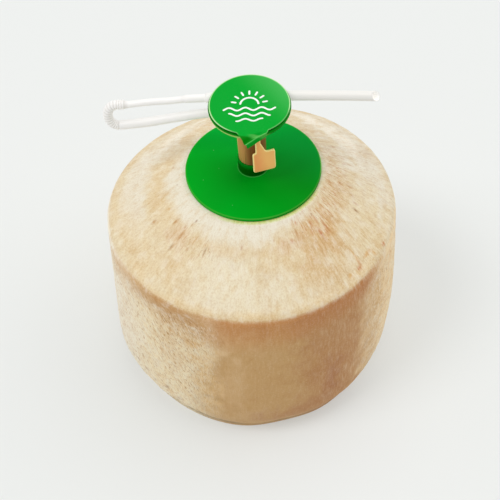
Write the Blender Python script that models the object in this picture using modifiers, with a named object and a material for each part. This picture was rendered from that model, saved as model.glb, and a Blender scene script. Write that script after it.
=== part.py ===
# Trimmed young coconut with a push-in plastic opener and a telescopic straw.
# Metres, +Z up. The origin is the centre of the flat base.
import math

import bmesh
import bpy
import numpy as np
from mathutils import Matrix, Vector

MM = 0.001
GAP = 0.3 * MM
MERGE = 0.01 * MM

# Husk. The wall is height and mean radius, from the base up to the ridge.
WALL_PROFILE = [(0.0, 60.1), (5.0, 62.3), (12.0, 65.3), (20.0, 66.1), (32.0, 66.5), (45.0, 66.4),
                (58.0, 65.9), (70.0, 65.3)]
RIDGE_RADIUS = 63.75
RIDGE_HEIGHT = 86.5
RIDGE_LEAN = (0.5, -0.2)
RIDGE_ROUNDING = 5.0
RIDGE_FULLNESS = 0.5
# How far the knife left it out of round: shift in X and Y, oval, three-cornered, each with its diagonal.
BASE_SHAPE = [(1.0, -0.1), (0.2, 0.8), (-0.6, 1.1)]
RIDGE_SHAPE = [(0.1, -0.7), (0.5, 1.2), (-0.5, 0.3)]
# Flat knife cuts, low on the front and down the left: direction in degrees, distance from the axis at the
# base, slope, and how softly the cut runs out.
FACETS = [(285.0, 60.1, 0.5, 1.2), (190.0, 65.2, 0.0, 0.5)]
HUSK_SIDES = 72
CONE_SHARES = [0.3, 0.5, 0.7, 0.86, 0.96]
CONE_BULGE = 1.2
PLATEAU_RADIUS = 31.0

# Opener. Its axis stands on the cut top and leans to the left.
OPENER_BASE = Vector((0.3, -0.25, 112.35)) * MM
OPENER_LEAN_DEG = 2.51
OPENER_PITCH_DEG = 0.66
DISC_RADIUS = 29.24
DISC_THICKNESS = 1.5
DISC_DOME = 0.8
COLLAR_RADIUS = 6.4
COLLAR_TOP = 7.2
SOCKET_RADIUS = 5.0
SOCKET_FLOOR = 2.0
STEM_RADIUS = 4.6
CAP_RADIUS = 17.0
CAP_TOP = 37.6
CAP_THICKNESS = 1.5
CAP_PITCH = math.tan(math.radians(2.0))

# Lock clip: a split sleeve round the stem, two lips behind it and a pull tag in front.
SLEEVE_RADIUS = 6.3
SLEEVE_BORE = 5.3
SLEEVE_BOTTOM = 7.5
SLEEVE_TOP = 35.0
SLEEVE_TAPER = 0.93
LIP_INNER = 2.6
LIP_OUTER = 3.8
LIP_END = 10.2
TAG_CENTRE = Vector((4.8, -9.5, 126.2))
TAG_SIDE = 9.8
TAG_CORNER = 1.0
TAG_THICKNESS = 1.2
TAG_YAW_DEG = 19.0
TAG_LEAN_DEG = 10.0
NECK_WIDTH = 2.3
NECK_LENGTH = 9.0
NECK_SHIFT = -2.35
NECK_FLARE = [(0.2, 1.5), (-1.2, 4.6)]
NECK_FILLETS = (0.4, 1.8)
ROOT_SIZE = (2.4, 2.2)
ROOT_DEPTH = (-0.4, 3.2)
ROOT_DROP = 1.2

# Peel-off lid: a thin disc with a drooping tab towards the front.
LID_RADIUS = 16.4
LID_THICKNESS = 0.25
LID_LIFT = 0.8
LID_SIDES = 56
LID_RINGS = [0.35, 0.62, 0.75, 0.86, 1.0]
TAB_OUTLINE = [(-5.4, 15.4), (-0.9, 22.4), (6.6, 17.9), (7.8, 14.2)]
TAB_BEND_START = 17.3
TAB_BEND_RADIUS = 4.0
TAB_DROOP_DEG = 42.0

# Straw, in the upright plane behind the stem.
STRAW_Y = 8.5
TUBE_RADIUS = 2.1
TUBE_WALL = 0.25
TUBE_ROUTE = [(-19.5, 144.9), (-10, 145.4), (0, 145.85), (10, 146.15), (20, 146.3), (36, 146.25),
              (54, 145.85)]
TUBE_CUT_X = 50.9
TUBE_CUT_DEG = 40.0
THIN_RADIUS = 1.45
FLARE_RADIUS = 1.7
THIN_ROUTE = [(-11.5, 145.3), (-19.2, 144.8), (-28.2, 144.2), (-28.8, 143.9), (-33, 143.4), (-43.4, 142.4),
              (-51.5, 141.1)]
FLARE_POINTS = 3
BEND_CENTRE = (-56.4, 134.9)
BEND_HALF_WIDTH = 4.3
BEND_HALF_HEIGHT = 6.0
BEND_RIBS = 12
RIB_DEPTH = 0.35
LEG_RADIUS = 2.05
LEG_ROUTE = [(-52.0, 129.5), (-44.1, 130.8), (-33.5, 133.2), (-22.9, 135.5), (-12.0, 137.3), (-4.0, 138.3),
             (6.0, 139.2)]


def make_material(name, colour, roughness):
    material = bpy.data.materials.new(name)
    material.use_nodes = True
    shader = material.node_tree.nodes["Principled BSDF"]
    shader.inputs["Base Color"].default_value = (*colour, 1.0)
    shader.inputs["Roughness"].default_value = roughness
    shader.inputs["Metallic"].default_value = 0.0
    return material


def add_object(name, mesh, collection, material=None):
    piece = bpy.data.objects.new(name, mesh)
    collection.objects.link(piece)
    if material:
        mesh.materials.append(material)
    return piece


def smooth(mesh, degrees=35.0):
    mesh.shade_smooth()
    mesh.set_sharp_from_angle(angle=math.radians(degrees))


def mesh_from_arrays(name, points, faces):
    mesh = bpy.data.meshes.new(name)
    mesh.from_pydata([tuple(p) for p in points], [], faces)
    mesh.validate()
    return mesh


def grid_faces(rings, sides):
    # Quads between neighbouring rings of a closed loft; each ring has the same number of points.
    faces = []
    for ring in range(rings - 1):
        for side in range(sides):
            nxt = (side + 1) % sides
            low, high = ring * sides, (ring + 1) * sides
            faces.append((low + side, low + nxt, high + nxt, high + side))
    return faces


def husk_radius(mean, height, angle):
    # The mean radius, out of round by a blend of the base's and the ridge's shapes, then cut by the facets.
    blend = height / RIDGE_HEIGHT
    radius = np.full_like(angle, mean)
    for order, (low, high) in enumerate(zip(BASE_SHAPE, RIDGE_SHAPE), start=1):
        radius += (low[0] * (1 - blend) + high[0] * blend) * np.cos(order * angle)
        radius += (low[1] * (1 - blend) + high[1] * blend) * np.sin(order * angle)
    for direction, distance, slope, softness in FACETS:
        facing = np.maximum(np.cos(angle - math.radians(direction)), 0.2)
        cut = (distance + slope * height) / facing
        radius = -softness * np.log(np.exp(-radius / softness) + np.exp(-cut / softness))
    return radius


def opener_frame():
    lean, pitch = math.radians(OPENER_LEAN_DEG), math.radians(OPENER_PITCH_DEG)
    normal = Vector((-math.sin(lean), -math.sin(pitch), 1.0)).normalized()
    turn = Vector((0, 0, 1)).rotation_difference(normal).to_matrix()
    return Matrix.Translation(OPENER_BASE) @ turn.to_4x4()


def make_husk(collection, material):
    angle = np.linspace(0.0, 2.0 * math.pi, HUSK_SIDES, endpoint=False)
    direction = np.stack([np.cos(angle), np.sin(angle)], axis=1)

    def ring(radius, height):
        level = np.broadcast_to(height, angle.shape)
        return np.column_stack([direction * np.reshape(radius, (-1, 1)), level])

    rings = [ring(husk_radius(mean, height, angle), height) for height, mean in WALL_PROFILE]

    # The cut top is a plane square to the opener, and the cone runs down from it to the ridge.
    frame = opener_frame()
    normal = np.array(frame.to_3x3() @ Vector((0, 0, 1)))
    base = np.array(OPENER_BASE) / MM - normal * (DISC_THICKNESS + GAP / MM)
    rim = np.column_stack([direction * PLATEAU_RADIUS + base[:2], np.zeros(HUSK_SIDES)])
    rim[:, 2] = base[2] - ((rim[:, :2] - base[:2]) @ normal[:2]) / normal[2]
    ridge_height = RIDGE_HEIGHT + direction @ np.array(RIDGE_LEAN)
    ridge = ring(husk_radius(RIDGE_RADIUS, RIDGE_HEIGHT, angle), ridge_height)

    def cone(t):
        bulged = ridge + (rim - ridge) * t
        bulged[:, 2] += CONE_BULGE * 4.0 * t * (1.0 - t)
        return bulged

    # The ridge is rounded: a quadratic curve from the wall to the cone, drawn towards the corner.
    share = RIDGE_ROUNDING / (RIDGE_HEIGHT - WALL_PROFILE[-1][0])
    wall_end = ridge * (1 - share) + rings[-1] * share
    slope_length = np.linalg.norm(rim[0] - ridge[0])
    cone_start = cone(RIDGE_ROUNDING / slope_length)
    corner = ridge + (ridge - 0.5 * (wall_end + cone_start)) * RIDGE_FULLNESS
    for t in (0.0, 0.25, 0.5, 0.75, 1.0):
        rings.append(wall_end * (1 - t) ** 2 + corner * 2 * t * (1 - t) + cone_start * t * t)
    rings += [cone(t) for t in CONE_SHARES]
    rings.append(rim)

    points = np.vstack(rings) * MM
    faces = grid_faces(len(rings), HUSK_SIDES)
    faces.append(tuple(reversed(range(HUSK_SIDES))))
    last = (len(rings) - 1) * HUSK_SIDES
    faces.append(tuple(range(last, last + HUSK_SIDES)))
    mesh = mesh_from_arrays("husk", points, faces)
    smooth(mesh, 30.0)
    return add_object("husk", mesh, collection, material)


def turned_mesh(name, profile, sides):
    # Turns a profile of (radius, height) in millimetres, listed from the top down its outer side.
    mesh = bpy.data.meshes.new(name)
    edges = [(i, i + 1) for i in range(len(profile) - 1)]
    mesh.from_pydata([(radius * MM, 0.0, height * MM) for radius, height in profile], edges, [])
    piece = bpy.data.objects.new(name, mesh)
    bpy.context.scene.collection.objects.link(piece)
    screw = piece.modifiers.new("turn", "SCREW")
    screw.steps = sides
    screw.render_steps = sides
    screw.use_merge_vertices = True
    screw.merge_threshold = MERGE
    return evaluated_mesh(piece)


def evaluated_mesh(piece):
    # The finished mesh of a working object, with its own placement kept in the points.
    bpy.context.view_layer.update()
    graph = bpy.context.evaluated_depsgraph_get()
    mesh = bpy.data.meshes.new_from_object(piece.evaluated_get(graph), depsgraph=graph)
    mesh.transform(piece.matrix_world)
    data = piece.data
    bpy.data.objects.remove(piece)
    if isinstance(data, bpy.types.Curve):
        bpy.data.curves.remove(data)
        weld(mesh)
    return mesh


def weld(mesh):
    work = bmesh.new()
    work.from_mesh(mesh)
    bmesh.ops.remove_doubles(work, verts=work.verts, dist=MERGE)
    bmesh.ops.recalc_face_normals(work, faces=work.faces)
    work.to_mesh(mesh)
    work.free()


def disc_profile():
    rim = 0.45
    profile = [(0.0, SOCKET_FLOOR), (SOCKET_RADIUS, SOCKET_FLOOR), (SOCKET_RADIUS, COLLAR_TOP),
               (COLLAR_RADIUS - 0.4, COLLAR_TOP), (COLLAR_RADIUS, COLLAR_TOP - 0.4), (COLLAR_RADIUS, 1.3),
               (COLLAR_RADIUS + 0.5, DISC_DOME)]
    for radius in (12.0, 18.0, 23.0, 27.0):
        profile.append((radius, DISC_DOME * (1.0 - (radius / DISC_RADIUS) ** 2)))
    profile += [(DISC_RADIUS - rim, -0.02), (DISC_RADIUS, -rim), (DISC_RADIUS, rim - DISC_THICKNESS),
                (DISC_RADIUS - rim, -DISC_THICKNESS), (0.0, -DISC_THICKNESS)]
    return profile


def plunger_profile():
    edge = 0.4
    below = CAP_TOP - CAP_THICKNESS
    foot = SOCKET_FLOOR + GAP / MM
    return [(0.0, CAP_TOP), (CAP_RADIUS - 2.5, CAP_TOP), (CAP_RADIUS - edge, CAP_TOP),
            (CAP_RADIUS, CAP_TOP - edge), (CAP_RADIUS, below + edge), (CAP_RADIUS - edge, below),
            (STEM_RADIUS, below), (STEM_RADIUS, foot + edge), (STEM_RADIUS - edge, foot), (0.0, foot)]


def make_base_disc(collection, material):
    mesh = turned_mesh("base_disc", disc_profile(), 64)
    smooth(mesh)
    return add_object("base_disc", mesh, collection, material)


def make_plunger(collection, material):
    mesh = turned_mesh("plunger", plunger_profile(), 56)
    for vertex in mesh.vertices:
        # The cap sits a little askew on its stem.
        if vertex.co.z > (CAP_TOP - CAP_THICKNESS - 0.1) * MM:
            vertex.co.z += vertex.co.y * CAP_PITCH
    smooth(mesh)
    return add_object("plunger", mesh, collection, material)


def extruded_mesh(name, outline, thickness):
    # A flat closed outline in millimetres, filled and extruded evenly to both sides of its plane.
    curve = bpy.data.curves.new(name, "CURVE")
    curve.dimensions = "2D"
    curve.fill_mode = "BOTH"
    curve.extrude = thickness * MM / 2.0
    spline = curve.splines.new("POLY")
    spline.points.add(len(outline) - 1)
    for point, (x, y) in zip(spline.points, outline):
        point.co = (x * MM, y * MM, 0.0, 1.0)
    spline.use_cyclic_u = True
    piece = bpy.data.objects.new(name, curve)
    bpy.context.scene.collection.objects.link(piece)
    return evaluated_mesh(piece)


def arc(centre, radius, start_deg, end_deg, steps):
    angles = np.radians(np.linspace(start_deg, end_deg, steps + 1))
    return [(centre[0] + radius * math.cos(a), centre[1] + radius * math.sin(a)) for a in angles]


def sleeve_outline():
    # A C open to the back, its ends turned outwards into two straight lips.
    outer = math.degrees(math.acos(LIP_OUTER / SLEEVE_RADIUS))
    inner = math.degrees(math.acos(LIP_INNER / SLEEVE_BORE))
    outline = arc((0.0, 0.0), SLEEVE_RADIUS, outer, -180.0 - outer, 26)
    outline += [(-LIP_OUTER, LIP_END), (-LIP_INNER, LIP_END)]
    outline += arc((0.0, 0.0), SLEEVE_BORE, -180.0 - inner, inner, 22)
    outline += [(LIP_INNER, LIP_END), (LIP_OUTER, LIP_END)]
    return outline


def tag_outline():
    # A square with round corners, drawn up near its left corner to a neck that narrows on the right.
    half = TAG_SIDE / 2.0
    inset = half - TAG_CORNER
    left, right = NECK_SHIFT - NECK_WIDTH / 2.0, NECK_SHIFT + NECK_WIDTH / 2.0
    small, large = NECK_FILLETS
    outline = arc((inset, -inset), TAG_CORNER, -90.0, 0.0, 3)
    outline += arc((inset, inset), TAG_CORNER, 0.0, 90.0, 3)
    outline += arc((NECK_FLARE[0][0] + large, half + large), large, -90.0, -155.0, 4)
    outline += [(x, half + y) for x, y in NECK_FLARE]
    outline += [(right, half + NECK_LENGTH), (left, half + NECK_LENGTH)]
    outline += arc((left - small, half + small), small, 0.0, -90.0, 2)
    outline += arc((-inset, inset), TAG_CORNER, 90.0, 180.0, 3)
    outline += arc((-inset, -inset), TAG_CORNER, 180.0, 270.0, 3)
    return outline


def tube_mesh(name, route, radii, sides, capped=True):
    # A tube along points in millimetres; radii holds one value or one for each point.
    radii = np.broadcast_to(radii, (len(route),))
    curve = bpy.data.curves.new(name, "CURVE")
    curve.dimensions = "3D"
    curve.bevel_depth = MM
    curve.bevel_resolution = sides // 2 - 2
    curve.use_fill_caps = capped
    spline = curve.splines.new("POLY")
    spline.points.add(len(route) - 1)
    for point, (x, z), radius in zip(spline.points, route, radii):
        point.co = (x * MM, STRAW_Y * MM, z * MM, 1.0)
        point.radius = radius
    piece = bpy.data.objects.new(name, curve)
    bpy.context.scene.collection.objects.link(piece)
    return evaluated_mesh(piece)


def boolean(piece, tool, operation):
    tool.hide_render = True
    tool.display_type = "WIRE"
    modifier = piece.modifiers.new(tool.name, "BOOLEAN")
    modifier.operation = operation
    modifier.solver = "EXACT"
    modifier.object = tool


def make_lock_clip(collection, cutters, material, opener):
    sleeve = extruded_mesh("lock_clip", sleeve_outline(), SLEEVE_TOP - SLEEVE_BOTTOM)
    middle = (SLEEVE_TOP + SLEEVE_BOTTOM) / 2.0 * MM
    for vertex in sleeve.vertices:
        if vertex.co.z < 0.0 and vertex.co.y < LIP_END * MM * 0.9:
            vertex.co.x *= SLEEVE_TAPER
            vertex.co.y *= SLEEVE_TAPER
        vertex.co.z += middle
    clip = add_object("lock_clip", sleeve, collection, material)
    clip.parent = opener

    tag = add_object("tag_plate", extruded_mesh("tag_plate", tag_outline(), TAG_THICKNESS), cutters)
    yaw = Matrix.Rotation(math.radians(TAG_YAW_DEG), 4, "Z")
    turn = yaw @ Matrix.Rotation(math.radians(90.0 - TAG_LEAN_DEG), 4, "X")
    tag.matrix_world = Matrix.Translation(TAG_CENTRE * MM) @ turn
    boolean(clip, tag, "UNION")

    # A short bar joins the head of the neck to the sleeve.
    neck_top = TAG_SIDE / 2.0 + NECK_LENGTH - ROOT_DROP
    head = TAG_CENTRE + turn.to_3x3() @ Vector((NECK_SHIFT, neck_top, 0.0))
    side = ROOT_SIZE[0] / 2.0
    near, far = ROOT_DEPTH
    bar = extruded_mesh("neck_root", [(-side, near), (side, near), (side, far), (-side, far)], ROOT_SIZE[1])
    bar.transform(Matrix.Translation(head * MM) @ yaw)
    root = add_object("neck_root", bar, cutters)
    boolean(clip, root, "UNION")

    notches = [("upper_notch", TUBE_ROUTE[1:4], TUBE_RADIUS), ("lower_notch", LEG_ROUTE[4:], LEG_RADIUS)]
    for name, route, radius in notches:
        notch = add_object(name, tube_mesh(name, route, radius + GAP / MM, 16), cutters)
        boolean(clip, notch, "DIFFERENCE")
    return clip


def lid_radius(angle):
    # The outline's distance from the centre: a circle, or the tab's sides where they lie further out.
    radius = np.full_like(angle, LID_RADIUS)
    direction = np.stack([np.sin(angle), np.cos(angle)], axis=1)
    for (ax, ay), (bx, by) in zip(TAB_OUTLINE, TAB_OUTLINE[1:]):
        side = np.array([bx - ax, by - ay])
        across = direction[:, 0] * side[1] - direction[:, 1] * side[0]
        distance = (ax * side[1] - ay * side[0]) / np.where(np.abs(across) < 1e-9, 1e-9, across)
        along = (direction * distance[:, None] - (ax, ay)) @ side / (side @ side)
        hit = (along >= -1e-6) & (along <= 1 + 1e-6) & (distance > 0)
        radius = np.where(hit, np.maximum(radius, distance), radius)
    return radius


def bend_lid(x, q):
    # q runs from the centre out to the front. Past the bend's start the sheet turns down on an arc.
    droop = math.radians(TAB_DROOP_DEG)
    past = np.maximum(q - TAB_BEND_START, 0.0)
    turn = np.minimum(past / TAB_BEND_RADIUS, droop)
    rest = past - turn * TAB_BEND_RADIUS
    out = np.minimum(q, TAB_BEND_START) + TAB_BEND_RADIUS * np.sin(turn) + rest * np.cos(turn)
    drop = TAB_BEND_RADIUS * (1.0 - np.cos(turn)) + rest * np.sin(turn)
    rise = np.clip((q - 6.0) / 10.0, 0.0, 1.0)
    lift = LID_LIFT * rise * rise * (3.0 - 2.0 * rise)
    return out, lift - drop


def make_lid(collection, material):
    # Angles are measured from the front; extra ones stand at the tab's corners.
    even = np.linspace(-math.pi, math.pi, LID_SIDES, endpoint=False)
    corners = np.array([math.atan2(x, q) for x, q in TAB_OUTLINE])
    between = (corners[1:] + corners[:-1]) / 2.0
    far = np.abs(even[:, None] - corners).min(axis=1) > 0.03
    angle = np.sort(np.concatenate([even[far], corners, between]))
    reach = lid_radius(angle)
    sides = len(angle)
    rings = []
    for share in LID_RINGS:
        x = reach * share * np.sin(angle)
        out, height = bend_lid(x, reach * share * np.cos(angle))
        top = CAP_TOP + GAP / MM + height - out * CAP_PITCH
        rings.append(np.column_stack([x, -out, top]))
    points = np.vstack([*rings, [[0.0, 0.0, CAP_TOP + GAP / MM]]]) * MM
    faces = grid_faces(len(LID_RINGS), sides)
    centre = len(points) - 1
    faces += [(centre, (side + 1) % sides, side) for side in range(sides)]
    mesh = mesh_from_arrays("lid_foil", points, faces)
    weld(mesh)
    smooth(mesh)
    lid = add_object("lid_foil", mesh, collection, material)
    shell = lid.modifiers.new("thickness", "SOLIDIFY")
    shell.thickness = LID_THICKNESS * MM
    shell.offset = 1.0
    triangles = lid.modifiers.new("triangles", "TRIANGULATE")
    triangles.quad_method = "FIXED"
    return lid


def make_straw_tube(collection, cutters, material):
    mesh = tube_mesh("straw_tube", TUBE_ROUTE, TUBE_RADIUS, 12, capped=False)
    smooth(mesh)
    tube = add_object("straw_tube", mesh, collection, material)
    wall = tube.modifiers.new("wall", "SOLIDIFY")
    wall.thickness = TUBE_WALL * MM
    wall.offset = -1.0

    # The free end is cut on a slant that faces up and to the front.
    bpy.ops.mesh.primitive_cube_add(size=1.0)
    block = bpy.context.object
    block.name = "straw_end_cut"
    block.data.transform(Matrix.Diagonal((20 * MM, 30 * MM, 30 * MM, 1.0)))
    for owner in list(block.users_collection):
        owner.objects.unlink(block)
    cutters.objects.link(block)
    slant = math.radians(TUBE_CUT_DEG)
    normal = Vector((math.cos(slant), -0.63 * math.sin(slant), 0.78 * math.sin(slant)))
    turn = Vector((1, 0, 0)).rotation_difference(normal).to_matrix().to_4x4()
    end = Vector((TUBE_CUT_X, STRAW_Y, TUBE_ROUTE[-1][1])) * MM
    block.matrix_world = Matrix.Translation(end) @ turn @ Matrix.Translation((10 * MM, 0, 0))
    boolean(tube, block, "DIFFERENCE")
    return tube


def bend_route():
    # Half an ellipse on its side, two points to a rib, narrow where the folds lie.
    turns = np.linspace(0.0, math.pi, 2 * BEND_RIBS + 1)
    x = BEND_CENTRE[0] - BEND_HALF_WIDTH * np.sin(turns)
    z = BEND_CENTRE[1] + BEND_HALF_HEIGHT * np.cos(turns)
    route = list(zip(x.tolist(), z.tolist()))
    radii = [TUBE_RADIUS - RIB_DEPTH * (i % 2) for i in range(len(route))]
    route.insert(0, (BEND_CENTRE[0] + 3.2, BEND_CENTRE[1] + BEND_HALF_HEIGHT))
    radii.insert(0, TUBE_RADIUS - RIB_DEPTH)
    return route, radii


def make_straw_bend(collection, material):
    folded, folded_radii = bend_route()
    route = THIN_ROUTE + folded + LEG_ROUTE
    radii = [FLARE_RADIUS] * FLARE_POINTS + [THIN_RADIUS] * (len(THIN_ROUTE) - FLARE_POINTS)
    radii += folded_radii + [LEG_RADIUS] * len(LEG_ROUTE)
    mesh = tube_mesh("straw_bend", route, radii, 8)
    smooth(mesh, 60.0)
    return add_object("straw_bend", mesh, collection, material)


def main():
    for old in list(bpy.data.objects):
        bpy.data.objects.remove(old)
    parts = bpy.data.collections.new("young_coconut")
    cutters = bpy.data.collections.new("cutters")
    for collection in (parts, cutters):
        bpy.context.scene.collection.children.link(collection)

    husk = make_material("husk", (0.72, 0.58, 0.38), 0.75)
    green = make_material("green_plastic", (0.01, 0.33, 0.04), 0.3)
    tan = make_material("tan_plastic", (0.66, 0.33, 0.11), 0.4)
    foil = make_material("lid_foil", (0.02, 0.42, 0.08), 0.35)
    white = make_material("straw_plastic", (0.85, 0.85, 0.82), 0.35)

    opener = bpy.data.objects.new("opener_axis", None)
    parts.objects.link(opener)
    opener.matrix_world = opener_frame()

    make_husk(parts, husk)
    for piece in (make_base_disc(parts, green), make_plunger(parts, green), make_lid(parts, foil)):
        piece.parent = opener
    make_lock_clip(parts, cutters, tan, opener)
    make_straw_tube(parts, cutters, white)
    make_straw_bend(parts, white)
    bpy.context.view_layer.update()


main()
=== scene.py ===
import math

import bmesh
import bpy
import numpy as np
from mathutils import Matrix, Vector


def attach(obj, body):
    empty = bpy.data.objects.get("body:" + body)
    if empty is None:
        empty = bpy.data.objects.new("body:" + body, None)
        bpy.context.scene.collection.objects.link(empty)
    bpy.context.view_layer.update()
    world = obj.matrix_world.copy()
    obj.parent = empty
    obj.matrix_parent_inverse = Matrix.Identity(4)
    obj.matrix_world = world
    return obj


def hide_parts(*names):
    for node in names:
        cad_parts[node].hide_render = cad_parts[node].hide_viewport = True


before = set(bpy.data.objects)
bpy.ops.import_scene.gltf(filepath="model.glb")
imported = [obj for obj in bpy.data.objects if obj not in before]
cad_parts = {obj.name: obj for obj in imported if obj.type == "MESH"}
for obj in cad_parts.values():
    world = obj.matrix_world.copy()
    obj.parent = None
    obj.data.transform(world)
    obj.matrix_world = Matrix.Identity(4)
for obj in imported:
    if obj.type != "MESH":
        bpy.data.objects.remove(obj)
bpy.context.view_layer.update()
mm = 0.001
fullTurn = 2.0 * math.pi


# Small helpers: numbers, curves and meshes

def linear(red, green, blue):
    # A screen colour (0-255) as linear light: share / 12.92 if dark, else ((share + 0.055) / 1.055)^2.4.
    share = np.array([red, green, blue], float) / 255.0
    return np.where(share <= 0.04045, share / 12.92, ((share + 0.055) / 1.055) ** 2.4)


def smoothStep(low, high, value):
    # 0 below low, 1 above high, 3 part^2 - 2 part^3 between; it falls where low is above high.
    part = np.clip((value - low) / (high - low), 0.0, 1.0)
    return part * part * (3.0 - 2.0 * part)


def window(value, riseFrom, riseTo, fallFrom, fallTo):
    # 1 from riseTo to fallFrom, with a smooth step down on either side.
    return smoothStep(riseFrom, riseTo, value) * (1.0 - smoothStep(fallFrom, fallTo, value))


def throughPoints(points, share):
    # A Catmull-Rom curve: between two points the cubic Hermite blend of their places and slopes. share
    # runs 0..1 by chord length and may have any shape.
    points = np.asarray(points, float)
    chord = np.concatenate([[0.0], np.cumsum(np.linalg.norm(np.diff(points, axis=0), axis=1))])
    knots = chord / chord[-1]
    slopes = np.gradient(points, knots, axis=0)
    share = np.asarray(share, float)
    first = np.clip(np.searchsorted(knots, share, side="right") - 1, 0, len(points) - 2)
    width = (knots[first + 1] - knots[first])[..., None]
    part = (share - knots[first])[..., None] / width
    square, cube = part**2, part**3
    return ((2 * cube - 3 * square + 1) * points[first] + (cube - 2 * square + part) * width * slopes[first]
            + (3 * square - 2 * cube) * points[first + 1] + (cube - square) * width * slopes[first + 1])


def softNoise(turn, level, cells, size, seed):
    # Value noise that closes on itself: seeded heights on a lattice, so many cells to one turn and a cell
    # to each size of level, joined by smooth steps. Gives 0..1. The shift keeps the rows above 0.
    levelShift = 300.0
    across, up = np.broadcast_arrays(np.asarray(turn) * cells, (np.asarray(level) + levelShift) / size)
    column, row = np.floor(across).astype(int), np.floor(up).astype(int)
    heights = np.random.default_rng(seed).random((int(row.max()) + 2, cells))
    partAcross, partUp = smoothStep(0.0, 1.0, across - column), smoothStep(0.0, 1.0, up - row)
    left, right = column % cells, (column + 1) % cells
    lower = heights[row, left] * (1 - partAcross) + heights[row, right] * partAcross
    upper = heights[row + 1, left] * (1 - partAcross) + heights[row + 1, right] * partAcross
    return lower * (1 - partUp) + upper * partUp


def bow(start, corner, end, part):
    # A quadratic curve: start (1 - part)^2 + 2 corner part (1 - part) + end part^2.
    return start * (1 - part) ** 2 + corner * 2 * part * (1 - part) + end * part**2


def smoothShaded(mesh, sharp=None):
    # Smooth shading; edges that turn by more than sharp degrees stay sharp.
    mesh.shade_smooth()
    if sharp:
        mesh.set_sharp_from_angle(angle=math.radians(sharp))
    return mesh


def newMesh(name, points, faces, values=None, sharp=None):
    # A mesh from points in metres; values are point attributes of one, three or four numbers a vertex.
    mesh = bpy.data.meshes.new(name)
    mesh.from_pydata(points.tolist(), [], faces)
    kinds = {1: ("FLOAT", "value"), 3: ("FLOAT_VECTOR", "vector"), 4: ("FLOAT_COLOR", "color")}
    for key, array in (values or {}).items():
        kind, slot = kinds[array.shape[1]]
        layer = mesh.attributes.new(key, kind, "POINT")
        layer.data.foreach_set(slot, np.ascontiguousarray(array, dtype=np.float32).ravel())
    return smoothShaded(mesh, sharp)


def surfaceMesh(name, grid, poles=(None, None), wrapRows=False, values=None):
    # Quads over grid[row, column] in millimetres. Columns close round; a pole point closes the first or
    # the last row with a fan, and wrapRows joins the last row to the first. The faces turn round where the
    # volume, a sum of triple products, comes out below 0.
    rows, columns = grid.shape[:2]
    index = np.arange(rows * columns).reshape(rows, columns)
    low = index if wrapRows else index[:-1]
    high = np.roll(index, -1, axis=0) if wrapRows else index[1:]
    quads = np.stack([low, np.roll(low, -1, axis=1), np.roll(high, -1, axis=1), high], axis=-1).reshape(-1, 4)
    points = [grid.reshape(-1, 3)]
    fans = []
    for pole, ring, order in ((poles[0], index[0], -1), (poles[1], index[-1], 1)):
        if pole is not None:
            tip = np.full(columns, rows * columns + len(fans))
            fans.append(np.stack([ring, np.roll(ring, -1), tip], axis=-1)[:, ::order])
            points.append(np.reshape(pole, (1, 3)))
    points = np.vstack(points) * mm
    corners = np.vstack([quads[:, [0, 1, 2]], quads[:, [0, 2, 3]], *fans])
    first, second, third = (points[corners[:, side]] for side in range(3))
    if np.einsum("ij,ij->", first, np.cross(second, third)) < 0.0:
        quads = quads[:, ::-1]
        fans = [fan[:, ::-1] for fan in fans]
    return newMesh(name, points, quads.tolist() + [face for fan in fans for face in fan.tolist()], values)


def endPoles(grid):
    # The middles of the first row and the last.
    return grid[0].mean(axis=0), grid[-1].mean(axis=0)


def addPiece(name, mesh, material, replaced=None):
    # The mesh as an object that rides on the one body; replaced is the CAD node that it stands for.
    piece = bpy.data.objects.new(name, mesh)
    bpy.context.scene.collection.objects.link(piece)
    mesh.materials.clear()
    mesh.materials.append(material)
    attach(piece, "root")
    if replaced:
        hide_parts(replaced)
    return piece


# Shader maths

class Field:
    # One socket of a material; an expression on Fields adds a Math node for each operator.
    def __init__(self, paint, socket):
        self.paint = paint
        self.socket = socket

    def math(self, operation, *values):
        # One Math node over Fields or plain numbers.
        return self.paint.node("ShaderNodeMath", {"operation": operation}, dict(enumerate(values)))

    def __add__(self, other):
        return self.math("ADD", self, other)

    def __sub__(self, other):
        return self.math("SUBTRACT", self, other)

    def __rsub__(self, other):
        return self.math("SUBTRACT", other, self)

    def __mul__(self, other):
        return self.math("MULTIPLY", self, other)

    __radd__ = __add__
    __rmul__ = __mul__

    def step(self, low, high):
        # Smooth step from 0 to 1; it falls where low is above high.
        return self.paint.node("ShaderNodeMapRange", {"interpolation_type": "SMOOTHSTEP"},
                               {"Value": self, "From Min": low, "From Max": high})


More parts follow.
